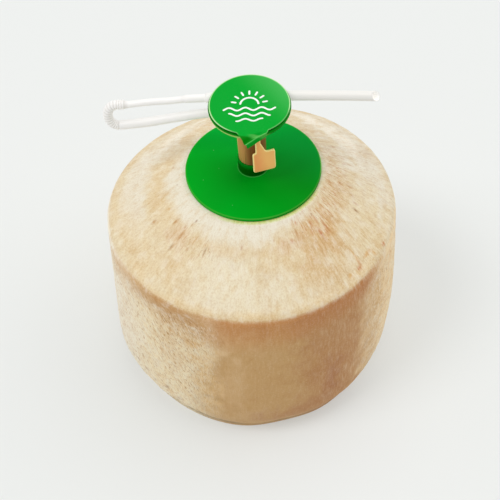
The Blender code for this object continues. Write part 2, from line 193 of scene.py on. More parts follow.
class Paint:
    # One material: a Principled shader with constants on its sockets, and Fields linked into it.
    def __init__(self, name, constants):
        self.material = bpy.data.materials.new(name)
        self.material.use_nodes = True
        self.tree = self.material.node_tree
        self.shader = self.tree.nodes["Principled BSDF"]
        for key, value in constants.items():
            self.shader.inputs[key].default_value = value

    def node(self, kind, settings, values, output=0):
        # A node with its settings; each input is linked to a Field or set to a constant.
        made = self.tree.nodes.new(kind)
        for key, value in settings.items():
            setattr(made, key, value)
        for key, value in values.items():
            if isinstance(value, Field):
                self.tree.links.new(value.socket, made.inputs[key])
            else:
                made.inputs[key].default_value = value
        return Field(self, made.outputs[output])

    def vector(self, operation, first, second, output="Vector"):
        # One Vector Math node.
        inputs = {0: first, 1: second}
        return self.node("ShaderNodeVectorMath", {"operation": operation}, inputs, output=output)

    def mix(self, factor, first, second, blend="MIX"):
        # first (1 - factor) + second factor, or another blend; both are Fields or screen colours.
        first, second = (side if isinstance(side, Field) else (*linear(*side), 1.0)
                         for side in (first, second))
        return self.node("ShaderNodeMix", {"data_type": "RGBA", "blend_type": blend},
                         {0: factor, 6: first, 7: second}, output=2)

    def attribute(self, name, output="Fac"):
        # A point attribute of the mesh, by its value, colour, vector or alpha.
        return self.node("ShaderNodeAttribute", {"attribute_name": name}, {}, output=output)

    def place(self, stretch=1.0, source=None):
        # Object coordinates in millimetres, or another vector, times one stretch or three.
        stretch = np.broadcast_to(stretch, 3)
        if source is None:
            source = self.node("ShaderNodeTexCoord", {}, {}, output="Object")
            stretch = stretch / mm
        return self.vector("MULTIPLY", source, tuple(stretch.tolist()))

    def along(self, direction):
        # How far a point lies along a direction, in millimetres: the dot product with its place.
        return self.vector("DOT_PRODUCT", self.place(), direction, output="Value")

    def noise(self, stretch, source=None, detail=3.0, rough=0.55):
        # Fractal noise of 0..1 over the stretched place.
        values = {"Vector": self.place(stretch, source), "Scale": 1.0, "Detail": detail, "Roughness": rough}
        return self.node("ShaderNodeTexNoise", {}, values)

    def cells(self, stretch, source=None):
        # Distance to the nearest of scattered points over the stretched place.
        values = {"Vector": self.place(stretch, source), "Scale": 1.0}
        return self.node("ShaderNodeTexVoronoi", {}, values, output="Distance")

    def link(self, field, socket):
        # Feeds one of the shader's own sockets.
        self.tree.links.new(field.socket, self.shader.inputs[socket])

    def bump(self, height, reach):
        # A height of 0..1 stands for a relief of so many millimetres.
        values = {"Height": height, "Distance": reach * mm, "Strength": 1.0}
        self.link(self.node("ShaderNodeBump", {}, values), "Normal")


# The opener's place on the husk's cut top, which its own pieces and the husk share

openerPlan = {
    "base": (0.3, -0.25, 112.35),    # where its axis meets the disc's upper side
    "leanLeft": 2.51,                # degrees
    "leanFront": 0.66,
    "discThickness": 1.5,
    "gap": 0.3,                      # between pieces that lie on each other
    "edge": (196, 240, 130),         # light that comes through a rim
    # dark: painted shade, where the green darkens towards the right
    "dark": (0, 134, 18),            # the green's dark side
    "dust": (170, 226, 176),
}


def openerTurn():
    # The opener's axis and its foot. The axis is the upright turned to (-sin leanLeft, -sin leanFront, 1).
    left, front = (math.sin(math.radians(openerPlan[key])) for key in ("leanLeft", "leanFront"))
    normal = Vector((-left, -front, 1.0)).normalized()
    turn = Vector((0, 0, 1)).rotation_difference(normal).to_matrix()
    return np.array(turn), np.array(openerPlan["base"])


def inOpener(points):
    # Points of the opener's own frame, in millimetres, turned to its axis and set on the cut top.
    turn, base = openerTurn()
    return points @ turn.T + base


# Husk: the carved coconut

# A level is the height up the wall, and past the ridge the ridge's height plus the way up the cone. Turns
# are in degrees, from the right (0) over the back (90) and the left (180) to the front (270).
huskPlan = {
    "columns": 640,
    "rows": (13, 42, 9, 13, 62),     # foot, wall, shoulder, ridge and cone
    "footTop": 12.0,                 # heights where these begin and end
    "wallFrom": 13.5,
    "wallTop": 70.0,
    "wallProfile": [(0.0, 60.1), (5.0, 62.3), (12.0, 65.3), (20.0, 66.1), (32.0, 66.5), (45.0, 66.4),
                    (58.0, 65.9), (70.0, 65.3), (86.5, 63.75)],      # height and mean radius, the ridge last
    "ridgeLean": (0.5, -0.2),        # how much higher it lies on the right and at the back
    "ridgeRounding": 5.0,
    "ridgeFullness": 0.5,
    "baseShape": [(1.0, -0.1), (0.2, 0.8), (-0.6, 1.1)],     # shift, oval and three-cornered: cosine and sine
    "ridgeShape": [(0.1, -0.7), (0.5, 1.2), (-0.5, 0.3)],
    "facets": [(285.0, 60.1, 0.5, 1.2), (190.0, 65.2, 0.0, 0.5)],    # turn, distance, slope and softness
    "coneBulge": 1.2,
    "coneLength": 42.0,
    "plateauRadius": 31.0,
    "plateauRows": [(30.4, 0.0), (29.7, 0.16), (29.0, 0.24), (22.0, 0.24), (12.0, 0.24)],    # radius and rise
    "baseRows": (0.25, 0.5, 0.75, 0.92, 0.985),      # shares of the base's radius
    "baseLevel": -60.0,              # the level at the base's centre
    "inset": 0.12,                   # the relief only goes inwards from the solid
    "ringRadius": [(0, 28.5), (60, 29.0), (90, 31.0), (140, 30.0), (165, 32.5), (180, 37.0), (230, 36.8),
                   (270, 38.0), (285, 35.5), (305, 32.0), (325, 29.5), (360, 28.5)],     # of the cream ring
    "fibreLean": 0.0085,             # radians to a millimetre, up to fibreTop
    "fibreTop": 84.0,
    "fibreRadius": 50.0,             # of the drum that the fibre pattern is drawn on
    "roughness": 0.66,
    "fibreShade": 0.36,              # how strongly fibres darken and lighten the skin
    "fibreLight": 0.5,
    "mottle": 0.2,
    "pitShade": 0.62,
    "tuftLight": 0.75,
    "clouds": 0.28,
    "relief": 0.5,
    # Colours as they show in even light, save those that carry painted light and shade: the wall is painted
    # lighter on the left and darker in front and on the right, its edge and brightest tones are painted
    # light, the band tones are a painted shadow under the ridge and the glow is painted light from the disc.
    "colours": {
        "cone": (233, 216, 180),
        "ring": (240, 232, 212),       # cream flesh next to the disc
        "pale": (239, 231, 212),
        "bright": (240, 228, 199),
        "tan": (232, 208, 165),
        "warmTan": (222, 188, 138),
        "greenish": (234, 217, 176),
        "pinkish": (224, 191, 158),
        "wallLeft": (254, 238, 202),
        "wallFront": (209, 167, 111),
        "wallRight": (199, 149, 98),
        "wallPaintedRimLight": (254, 230, 188),
        "wallTan": (230, 196, 148),
        "wallPaintedLight": (254, 246, 228),
        "paintedRidgeShadow": (208, 143, 84),
        "paintedRidgeShadowLeft": (200, 148, 86),
        "wallGold": (246, 206, 138),
        "ridgeTan": (238, 210, 160),
        "bandRed": (180, 118, 76),
        "foot": (146, 118, 78),
        # painted light: green light that comes through the disc onto the husk
        "paintedGlow": (206, 216, 92),
        "brown": (190, 126, 40),
        "red": (198, 112, 36),
        "ochre": (216, 156, 48),
        "cutBase": (224, 198, 150),
        "dark": (158, 100, 34),
    },
    # Soft patches: colour, turn, level, half width in degrees, half height in mm and strength. The patches of
    # the wall's brightest tone and the pale ones on the back right of the cone are painted light, the bright
    # ones on the cone's front partly a painted highlight, and the wall-tan ones under the ridge on the left
    # partly painted shade.
    "patches": [
        ("tan", 150, 120, 40, 9, 0.4), ("tan", 192, 115, 16, 5, 0.35), ("tan", 100, 119, 34, 7, 0.7),
        ("pale", 176, 103, 24, 8, 0.75), ("pale", 138, 111, 14, 4.5, 0.9), ("pale", 158, 102, 9, 8, 0.85),
        ("pale", 90, 106, 34, 8, 0.6), ("pale", 36, 107, 18, 8, 0.8), ("tan", 204, 95, 24, 8, 0.4),
        ("tan", 233, 99, 4, 8, 0.45), ("tan", 250, 116, 30, 3.5, 0.6), ("bright", 264, 99, 26, 10, 0.9),
        ("bright", 284, 92, 12, 5, 0.5), ("bright", 250, 106, 16, 6, 0.7),
        ("warmTan", 311, 112, 17, 12, 0.9), ("warmTan", 305, 99, 12, 9, 0.65),
        ("warmTan", 345, 119, 24, 7, 0.45), ("greenish", 352, 100, 24, 12, 0.6),
        ("pinkish", 42, 121, 14, 5, 0.2), ("pinkish", 224, 114, 9, 6, 0.35),
        ("pinkish", 292, 117, 9, 4, 0.4), ("bandRed", 303, 37, 6, 12, 0.6),
        ("bandRed", 292, 18, 16, 7, 0.4), ("wallRight", 286, 15, 16, 7, 0.6),
        ("wallLeft", 262, 14, 24, 11, 0.1), ("wallTan", 250, 74, 22, 11, 0.6),
        ("wallTan", 222, 84, 22, 5, 0.7), ("wallTan", 200, 78, 20, 7, 0.5),
        ("wallTan", 240, 58, 11, 16, 0.45), ("pale", 34, 100, 36, 18, 0.9),
        ("warmTan", 321, 114, 12, 9, 0.9), ("wallGold", 251, 42, 7, 34, 0.4),
        ("wallPaintedLight", 214, 42, 10, 14, 0.35), ("wallPaintedLight", 214, 15, 20, 7, 0.4),
        ("bandRed", 282, 14, 15, 6, 0.22), ("bright", 300, 94, 10, 6, 0.3),
        ("wallPaintedLight", 48, 107, 28, 7, 0.8), ("ochre", 320, 113.5, 6, 5, 0.14),
        ("wallGold", 338, 62, 10, 26, 0.25), ("wallTan", 262, 44, 6, 18, 0.35),
        ("pale", 20, 117, 16, 10, 0.5), ("wallPaintedLight", 132, 107, 22, 7, 0.7),
    ],
    # Single marks that the knife and the air left: the same values, the half length in place of the height.
    "marks": [
        ("dark", 227, 123.2, 0.92, 1.1, 1), ("brown", 226.2, 120.8, 0.75, 1.5, 0.68),
        ("brown", 215.5, 116.5, 1.035, 2.4, 0.88), ("brown", 224.5, 114, 1.265, 3.0, 0.68),
        ("brown", 222.8, 118, 0.805, 1.4, 0.68), ("dark", 242.2, 113, 0.75, 2.6, 0.81),
        ("brown", 232.5, 110.5, 0.75, 1.6, 0.68), ("dark", 223.8, 107, 0.75, 2.2, 0.68),
        ("brown", 205.3, 109, 1.265, 1.8, 0.94), ("ochre", 205, 117.8, 1.15, 1.1, 0.68),
        ("brown", 262.8, 118.2, 0.75, 1.3, 0.94), ("brown", 172, 123, 1.15, 0.8, 0.61),
        ("dark", 190.5, 125.5, 0.75, 0.6, 0.74), ("red", 294.3, 118.2, 1.495, 1.6, 0.88),
        ("brown", 283, 120.5, 0.75, 1.2, 0.61), ("red", 301.5, 125, 0.75, 1.2, 0.74),
        ("red", 313.4, 114.8, 1.035, 3.2, 1), ("red", 315.8, 121.5, 0.805, 4.5, 0.81),
        ("red", 318.6, 116.5, 0.75, 5.0, 1), ("red", 320.8, 121, 0.75, 3.0, 0.74),
        ("red", 331.8, 121, 0.75, 2.2, 0.88), ("dark", 341.5, 108.3, 0.75, 2.6, 1),
        ("brown", 345.4, 109.4, 0.805, 2.2, 0.88), ("brown", 353.8, 114.2, 0.92, 2.0, 0.61),
        ("brown", 352, 119.3, 0.75, 1.6, 0.54), ("brown", 386, 118, 0.92, 1.8, 0.54),
        ("red", 320, 91.6, 1.495, 1.1, 1), ("ochre", 327.5, 93.2, 2.99, 1.0, 0.94),
        ("ochre", 321.8, 97, 0.75, 5.0, 0.68), ("ochre", 330.5, 91, 0.92, 1.8, 0.68),
        ("ochre", 314.5, 92, 0.92, 1.2, 0.68), ("red", 337.5, 89, 1.495, 1.2, 1),
        ("red", 317, 113.5, 1.0, 2.6, 0.8), ("red", 311, 121, 0.8, 2.6, 0.6),
        ("red", 308.5, 117, 0.8, 1.8, 0.5), ("brown", 299, 121.5, 0.8, 1.6, 0.6),
        ("brown", 289, 118.5, 0.8, 1.2, 0.5), ("brown", 325, 124, 0.8, 1.4, 0.6),
        ("brown", 337, 119, 0.8, 2.0, 0.6), ("brown", 349, 112.5, 0.9, 1.6, 0.6),
        ("brown", 361, 118, 0.8, 2.2, 0.5), ("brown", 372, 113, 0.8, 1.8, 0.5),
        ("red", 321.5, 93.4, 0.9, 2.2, 0.6), ("dark", 211, 19.5, 1.1, 1.6, 0.6),
        ("dark", 226, 17.5, 1.3, 1.2, 0.5), ("dark", 239, 15.5, 1.6, 1.0, 0.5),
        ("dark", 316, 62, 0.75, 1.0, 0.68), ("dark", 233, 19.5, 1.15, 1.3, 1),
        ("dark", 221, 20.5, 1.84, 1.6, 0.68), ("dark", 215, 21, 2.07, 1.8, 0.68),
        ("dark", 252.5, 30, 1.84, 1.0, 0.41),
    ],
}
ridgeLevel, ridgeRadius = huskPlan["wallProfile"][-1]


def huskRadius(mean, height, angle):
    # The mean radius, plus waves of one, two and three to the turn that change from the base's to the
    # ridge's, and no further out than two flat cuts, distance / cos(angle from the cut). A soft minimum
    # joins them: -soft log(exp(-radius / soft) + exp(-cut / soft)).
    blend = height / ridgeLevel
    radius = mean + np.zeros_like(angle)
    for order, (low, high) in enumerate(zip(huskPlan["baseShape"], huskPlan["ridgeShape"]), start=1):
        radius = radius + (low[0] * (1 - blend) + high[0] * blend) * np.cos(order * angle)
        radius = radius + (low[1] * (1 - blend) + high[1] * blend) * np.sin(order * angle)
    for turn, distance, slope, soft in huskPlan["facets"]:
        cut = (distance + slope * height) / np.maximum(np.cos(angle - math.radians(turn)), 0.2)
        radius = -soft * np.log(np.exp(-radius / soft) + np.exp(-cut / soft))
    return radius


def huskRows():
    # The husk as rows of points from the base's centre to the cut top's. The wall's mean radius is a curve
    # through the profile, the cone a blend from ridge to plateau with a bulge 4 part (1 - part), and the
    # ridge a quadratic curve between them. Gives points, levels, angles and the cut top's centre.
    plan = huskPlan
    footRows, wallRows, shoulderRows, ridgeRows, coneRows = plan["rows"]
    angle = np.linspace(0.0, fullTurn, plan["columns"], endpoint=False)
    direction = np.stack([np.cos(angle), np.sin(angle)], axis=-1)
    meanAt = throughPoints(plan["wallProfile"], np.linspace(0, 1, 600))
    turn, base = openerTurn()
    normal = turn[:, 2]
    top = base - normal * (openerPlan["discThickness"] + openerPlan["gap"])

    def ring(mean, height):
        radius = huskRadius(mean, height, angle)
        return np.column_stack([direction * radius[:, None], np.full(len(angle), height)])

    def onTop(radius):
        flat = direction * radius + top[:2]
        return np.column_stack([flat, top[2] - ((flat - top[:2]) @ normal[:2]) / normal[2]])

    def cone(part):
        bulged = ridge + (rim - ridge) * part
        bulged[:, 2] += plan["coneBulge"] * 4.0 * part * (1.0 - part)
        return bulged

    heights = np.concatenate([np.linspace(0.0, plan["footTop"], footRows),
                              np.linspace(plan["wallFrom"], plan["wallTop"], wallRows)])
    wall = [ring(np.interp(height, meanAt[:, 0], meanAt[:, 1]), height) for height in heights]
    rim = onTop(plan["plateauRadius"])
    ridge = ring(ridgeRadius, ridgeLevel)
    ridge[:, 2] += direction @ np.array(plan["ridgeLean"])
    rounding = plan["ridgeRounding"]
    wallShare = rounding / (ridgeLevel - plan["wallTop"])
    wallEnd = ridge * (1 - wallShare) + wall[-1] * wallShare
    coneStart = rounding / np.linalg.norm(rim[0] - ridge[0])
    corner = ridge + (ridge - 0.5 * (wallEnd + cone(coneStart))) * plan["ridgeFullness"]

    rows = [wall[0] * (share, share, 1.0) for share in plan["baseRows"]] + wall
    levels = [plan["baseLevel"] * (1.0 - share) for share in plan["baseRows"]] + list(heights)
    wallEndLevel, coneLevel = ridgeLevel - rounding, ridgeLevel + coneStart * plan["coneLength"]
    for part in np.linspace(0.0, 1.0, shoulderRows)[1:]:
        rows.append(wall[-1] * (1 - part) + wallEnd * part)
        levels.append(plan["wallTop"] + (wallEndLevel - plan["wallTop"]) * part)
    for part in np.linspace(0.0, 1.0, ridgeRows)[1:]:
        rows.append(bow(wallEnd, corner, cone(coneStart), part))
        levels.append(wallEndLevel * (1 - part) + coneLevel * part)
    for part in np.linspace(coneStart, 1.0, coneRows)[1:]:
        rows.append(cone(part))
        levels.append(ridgeLevel + plan["coneLength"] * part)
    for radius, rise in plan["plateauRows"]:     # the cut top closes up under the disc
        rows.append(onTop(radius) + normal * rise)
        levels.append(ridgeLevel + plan["coneLength"] + plan["plateauRadius"] - radius)
    return np.array(rows), np.array(levels), angle, top


def ringGap(turn, level):
    # How far a point lies outside the cream ring, in millimetres: its own radius less the ring's at that
    # turn, the edge frayed by three sizes of noise.
    turns, radii = np.array(huskPlan["ringRadius"]).T
    narrowing = (ridgeRadius - huskPlan["plateauRadius"]) / huskPlan["coneLength"]
    fray = 2.6 * (softNoise(turn, level, 34, 9.0, 31) - 0.5)
    fray = fray + 2.0 * (softNoise(turn, level, 110, 5.0, 32) - 0.5)
    fray = fray + 1.2 * (softNoise(turn, level, 320, 3.0, 33) - 0.5)
    return ridgeRadius - (level - ridgeLevel) * narrowing - np.interp(turn * 360.0, turns, radii) + fray


def paintHusk(turn, level):
    # The husk's colour. Each tone is blended over the last by a share of 0..1, a product of smooth steps
    # over turn and level whose edges are frayed by noise.
    degrees = turn * 360.0
    tint = {name: linear(*colour) for name, colour in huskPlan["colours"].items()}
    fray = softNoise(turn, level, 60, 5.0, 11) - 0.5 + 0.6 * (softNoise(turn, level, 170, 2.4, 12) - 0.5)
    streak = softNoise(turn, level, 220, 9.0, 13) - 0.5
    cloud = softNoise(turn, level, 14, 16.0, 14)
    frayed = degrees + 8.0 * fray
    onCone = smoothStep(85.3, 88.0, level + 0.6 * fray)

    def blend(colour, name, share):
        return colour + (tint[name] - colour) * np.clip(share, 0.0, 1.0)[..., None]

    def addSpots(colour, kind, rough, core):
        # The share falls over an ellipse's distance, from 1 at the core's to 0 at 1.35.
        for name, centre, height, halfWidth, halfHeight, strength in huskPlan[kind]:
            across = (np.mod(degrees - centre + 180.0, 360.0) - 180.0) / halfWidth
            along = (level - height) / halfHeight
            distance = np.sqrt(across**2 + along**2) + rough * (fray + 0.5 * streak)
            share = smoothStep(1.35, core, distance) * (onCone if height > ridgeLevel else 1.0 - onCone)
            colour = blend(colour, name, strength * share)
        return colour

    # Wall: painted light on the left, brown in front and pinkish brown on the right, both partly painted
    # shade, and pale painted rim light past the right edge. The painted light on the left ends a little
    # further right, and more sharply, higher up.
    high = smoothStep(42.0, 66.0, level)
    leftward = smoothStep(9.0 - 3.0 * high, -9.0 + 3.0 * high, degrees - 251.0 - 5.0 * high + 3.0 * fray)
    colour = np.broadcast_to(tint["wallFront"], (*degrees.shape, 3)).copy()
    colour = blend(colour, "wallRight", smoothStep(282.0, 300.0, frayed + 0.06 * (level - 40.0)))
    colour = blend(colour, "wallTan", smoothStep(312.0, 325.0, frayed))
    colour = blend(colour, "wallPaintedRimLight", smoothStep(325.0, 339.0, frayed))
    colour = blend(colour, "wallLeft", leftward)
    # The brightest painted light, on the left of the wall.
    colour = blend(colour, "wallPaintedLight", window(degrees, 150.0, 180.0, 200.0, 230.0))

    coneColour = np.broadcast_to(tint["cone"], colour.shape).copy()
    coneColour = blend(coneColour, "pale", 0.5 * smoothStep(0.5, 0.8, cloud))
    coneColour = blend(coneColour, "tan", 0.5 * smoothStep(0.5, 0.2, cloud))
    colour = colour + (coneColour - colour) * onCone[..., None]
    colour = addSpots(colour, "patches", 0.9, 0.25)
    colour = blend(colour, "ring", smoothStep(3.0, -2.4, ringGap(turn, level)))
    colour = addSpots(colour, "marks", 0.35, -0.2)

    # A soft painted shadow, brown, just under the ridge, lower in front than at its ends, and tan just above
    # the ridge.
    lowest = 63.0 + 8.0 * smoothStep(282.0, 300.0, degrees) + 6.0 * smoothStep(256.0, 236.0, degrees)
    front = window(degrees, 194.0, 238.0, 318.0, 334.0)
    under = smoothStep(lowest, 84.5, level + 2.0 * fray) * smoothStep(87.8, 86.0, level + 0.5 * fray) * front
    colour = blend(colour, "paintedRidgeShadowLeft", 0.85 * under * smoothStep(262.0, 244.0, degrees))
    colour = blend(colour, "paintedRidgeShadow", 0.75 * under * smoothStep(244.0, 262.0, degrees))
    colour = blend(colour, "ridgeTan", 0.6 * smoothStep(92.0, 87.5, level + 3.0 * fray) * onCone * front)
    colour = blend(colour, "bandRed", 0.25 * under * smoothStep(276.0, 296.0, degrees))

    # The dark foot, highest on the front's left and right, the base, and painted green light by the disc,
    # where light comes through it onto the husk.
    footLevel = 5.0 + 5.0 * window(degrees, 178.0, 205.0, 243.0, 252.0)
    footLevel = footLevel + 4.0 * window(degrees, 298.0, 312.0, 330.0, 350.0)
    footLine = smoothStep(2.0, -2.0, level - footLevel + 4.5 * fray) * smoothStep(0.6, 3.0, level)
    colour = blend(colour, "foot", 0.55 * footLine)
    colour = blend(colour, "cutBase", 0.9 * smoothStep(0.5, -2.0, level + fray))
    paintedGlow = smoothStep(128.6, 129.6, level) * window(degrees, 225.0, 262.0, 325.0, 345.0)
    return blend(colour, "paintedGlow", 0.8 * paintedGlow)


def makeHusk():
    # The rows, moved inwards along their normals by a depth: waves everywhere, bumps where the wall is
    # coarse, and one shallow crease. Attributes carry colour, fibre direction and how coarse, fibrous and
    # speckled it is.
    plan = huskPlan
    rows, levels, angle, top = huskRows()
    turn = np.broadcast_to(angle / fullTurn, rows.shape[:2])
    level = np.broadcast_to(levels[:, None], rows.shape[:2])
    degrees = turn * 360.0
    alongRow = np.roll(rows, -1, axis=1) - np.roll(rows, 1, axis=1)
    normal = np.cross(alongRow, np.gradient(rows, axis=0))
    normal /= np.maximum(np.linalg.norm(normal, axis=-1, keepdims=True), 1e-9)

    wall = 1.0 - smoothStep(84.0, 88.0, level)
    smoothFront = window(degrees, 246.0, 262.0, 314.0, 330.0)
    coarse = (1.0 - smoothStep(77.0, 85.0, level)) * (1.0 - smoothFront) + 0.06
    coarse = coarse * (1.0 - 0.4 * window(degrees, 300.0, 320.0, 348.0, 358.0))
    waves = 0.5 * softNoise(turn, level, 26, 14.0, 21) + 0.25 * softNoise(turn, level, 70, 6.0, 22)
    bumps = softNoise(turn + 0.00035 * level, level, 260, 3.2, 23) * 0.35
    bumps = bumps + softNoise(turn, level, 400, 1.9, 24) * 0.25
    depth = plan["inset"] + 0.5 * waves * smoothStep(-2.0, 3.0, level) + bumps * coarse
    underDisc = smoothStep(126.5, 129.0, level)
    depth = depth * (1.0 - underDisc) + 0.1 * underDisc
    crease = np.exp(-((level - 76.0 - 0.05 * (degrees - 270.0)) / 0.8) ** 2)
    depth = depth + 0.12 * crease * window(degrees, 252.0, 262.0, 300.0, 310.0)
    rows = rows - normal * np.where(level < 0.5, 0.0, depth)[..., None]      # the base stays flat

    # Fibres run straight up, but lean on the wall's left.
    leaning = window(degrees, 150.0, 200.0, 244.0, 268.0)
    below = np.minimum(level, plan["fibreTop"]) - plan["fibreTop"]
    fibreTurn = angle + plan["fibreLean"] * leaning * below
    onDrum = plan["fibreRadius"] * np.array([np.cos(fibreTurn), np.sin(fibreTurn)])
    fibre = np.stack([*onDrum, level], axis=-1)
    # They show most where the knife cut across them, and little in the cream ring.
    fibrous = 0.35 + 0.5 * smoothStep(286.0, 315.0, degrees) + 0.5 * smoothStep(60.0, 20.0, degrees)
    fibrous = fibrous + 0.25 * window(degrees, 60.0, 110.0, 150.0, 180.0)
    fibrous = fibrous * (1.0 - 0.75 * smoothStep(2.5, -1.5, ringGap(turn, level))) * (1.0 - 0.45 * wall)
    redden = smoothStep(286.0, 310.0, degrees) + smoothStep(45.0, 15.0, degrees)
    specks = redden * window(level, 112.0, 121.0, 127.0, 130.0)
    leftSpecks = window(degrees, 200.0, 225.0, 240.0, 262.0) * window(level, 104.0, 110.0, 117.0, 122.0)
    specks = specks + 0.45 * leftSpecks
    grainy = 1.0 - 0.55 * wall * smoothFront

    def perPoint(grid):
        # one value a vertex, the two poles last, as surfaceMesh numbers them
        return np.vstack([grid.reshape(-1, grid.shape[-1]), *(end[None] for end in endPoles(grid))])

    skin = np.concatenate([paintHusk(turn, level), grainy[..., None]], axis=-1)
    values = {"skin": perPoint(skin), "fibre": perPoint(fibre)}
    for name, share in (("coarse", coarse), ("specks", specks), ("fibrous", fibrous)):
        values[name] = perPoint(share[..., None])
    print("husk rows and columns", *rows.shape[:2])
    return surfaceMesh("huskSkin", rows, poles=(np.zeros(3), top), values=values)


def huskMaterial():
    # The painted skin, with layers mixed or multiplied over it in turn: fibres that run up the wall and
    # towards the disc, a fine mottle, clouds, tufts and pits where the wall is coarse, strokes and specks.
    look = huskPlan
    paint = Paint("huskFlesh", {"Roughness": look["roughness"], "Specular IOR Level": 0.22})
    fibre = paint.attribute("fibre", "Vector")
    coarse = paint.attribute("coarse")
    grainy = paint.attribute("skin", "Alpha")
    fibrous = paint.attribute("fibrous")
    speckZone = paint.attribute("specks")
    fine = paint.noise((1.6, 1.6, 0.22), fibre, detail=4.0, rough=0.6)
    broad = paint.noise((0.5, 0.5, 0.08), fibre)
    grain = paint.noise((1.7, 1.7, 1.2), fibre, rough=0.65)
    patch = paint.noise((0.12, 0.12, 0.1), fibre, detail=4.0, rough=0.6)
    cloud = paint.noise((0.3, 0.3, 0.2), fibre, detail=4.0, rough=0.65)
    tuft = paint.noise((1.75, 1.75, 0.5), fibre, rough=0.65)
    pit = paint.noise((1.6, 1.6, 0.62), fibre, detail=2.0)
    stroke = paint.noise((1.5, 1.5, 0.26), fibre, detail=2.0).step(0.57, 0.65) * speckZone
    speck = paint.cells((0.62, 0.62, 0.42), fibre).step(0.2, 0.1)
    speck = speck * paint.noise((0.16, 0.16, 0.12), fibre).step(0.5, 0.62)
    dots = speck * (speckZone * 0.7 + 0.12)
    darkFibre = (fine.step(0.52, 0.36) * 0.65 + broad.step(0.5, 0.36) * 0.35) * fibrous
    lightFibre = (fine.step(0.5, 0.68) * 0.7 + broad.step(0.52, 0.66) * 0.3) * fibrous
    mottle = grainy * look["mottle"]
    clouds = grainy.step(0.45, 1.0) * look["clouds"]
    pitted = coarse * look["pitShade"]
    layers = [
        (darkFibre * look["fibreShade"], (206, 164, 108), "MULTIPLY"),
        (lightFibre * look["fibreLight"], (247, 238, 219), "MIX"),
        (grain.step(0.53, 0.36) * mottle, (208, 172, 120), "MULTIPLY"),
        (grain.step(0.52, 0.68) * mottle, (248, 240, 222), "MIX"),
        (patch.step(0.5, 0.34) * 0.2, (226, 196, 150), "MULTIPLY"),
        (cloud.step(0.48, 0.34) * clouds, (236, 212, 168), "MULTIPLY"),
        (cloud.step(0.5, 0.64) * clouds, (248, 241, 226), "MIX"),
        (tuft.step(0.5, 0.34) * pitted * 0.5, (204, 166, 112), "MULTIPLY"),
        (pit.step(0.45, 0.33) * pitted, (200, 158, 100), "MULTIPLY"),
        (tuft.step(0.52, 0.7) * coarse * look["tuftLight"], (248, 238, 216), "MIX"),
        (stroke * 0.6, (196, 124, 62), "MIX"),
        (dots, (158, 94, 40), "MIX"),
    ]
    colour = paint.attribute("skin", "Color")
    for share, tone, blend in layers:
        colour = paint.mix(share, colour, tone, blend)
    paint.link(colour, "Base Color")
    relief = 0.3 * fine * fibrous + 0.25 * grain + tuft * coarse * 0.7 + pit * coarse * 0.5 - dots * 0.2
    paint.bump(relief, look["relief"])
    return paint.material


huskSkin = addPiece("huskSkin", makeHusk(), huskMaterial(), "husk")
print("husk done")


# Opener: disc, cap and stem, in the opener's own frame

discPlan = {
    "radius": 29.24,
    "dome": 0.8,
    "domeSteps": (9.0, 12.0, 15.0, 18.0, 21.0, 24.0, 26.5),
    "collarRadius": 6.4,
    "collarTop": 7.2,
    "socketRadius": 5.0,
    "socketFloor": 2.0,
    "columns": 256,
    "rimRadius": (28.6, 29.05),      # light shows in the rim between these radii and heights
    "rimHeight": (-0.6, -0.25),
    "rimBack": 2.0,                  # and from here to the back, and up to here on the right
    "rimRight": 60.0,
    "colour": (0, 170, 34),
    "back": (0, 168, 62),
    "glint": (96, 196, 104),
    "collarFootShade": (0, 90, 4),
    "collarUpperShade": (0, 128, 24),
}

capPlan = {
    "radius": 17.0,
    "top": 37.6,
    "thickness": 1.5,
    "pitch": math.tan(math.radians(2.0)),    # the cap rises towards the back
    "stemRadius": 4.6,
    "columns": 192,
    "rimRadius": (16.4, 16.8),
    "rimHeight": (36.75, 36.4),
    "rimBack": -40.0,
    "rimRight": 2.0,
    # Darker than the disc's green: painted shade on the cap's side under the foil.
    "colour": (0, 118, 12),
}


def roundCorners(profile, radii, steps=7):
    # The profile with each inner corner drawn over by a quadratic curve that starts radii[i] before it.
    profile = np.asarray(profile, float)
    points = [profile[:1]]
    part = np.linspace(0.0, 1.0, steps)[:, None]
    for before, corner, after, radius in zip(profile, profile[1:], profile[2:], radii):
        start = corner + (before - corner) * min(radius / np.linalg.norm(before - corner), 0.5)
        end = corner + (after - corner) * min(radius / np.linalg.norm(after - corner), 0.5)
        points.append(bow(start, corner, end, part))
    points.append(profile[-1:])
    return np.vstack(points)


def turned(name, profile, columns, skew=None):
    # The profile carried round the axis: (radius cos a, radius sin a, height). Its two ends are poles.
    angle = np.linspace(0.0, fullTurn, columns, endpoint=False)
    radius, height = profile[1:-1, 0][:, None], profile[1:-1, 1][:, None]
    grid = np.stack([radius * np.cos(angle), radius * np.sin(angle), height + 0.0 * angle], axis=-1)
    if skew:
        grid = skew(grid)
    poles = [inOpener(np.array([0.0, 0.0, end])) for end in (profile[0, 1], profile[-1, 1])]
    return surfaceMesh(name, inOpener(grid), poles=poles)


def discProfile():
    # From the socket's floor over collar and dome, dome (1 - (r / radius)^2), to the underside's middle.
    plan = discPlan
    collar, top, radius = plan["collarRadius"], plan["collarTop"], plan["radius"]
    socket, floor, thickness = plan["socketRadius"], plan["socketFloor"], openerPlan["discThickness"]
    dome = [(reach, plan["dome"] * (1.0 - (reach / radius) ** 2)) for reach in plan["domeSteps"]]
    corners = [(0.0, floor), (socket, floor), (socket, top), (collar, top), (collar, plan["dome"]), *dome,
               (radius, 0.0), (radius, -thickness), (0.0, -thickness)]
    return roundCorners(corners, [0.2, 0.25, 0.35, 0.6] + [0.2] * len(dome) + [0.5, 0.35])


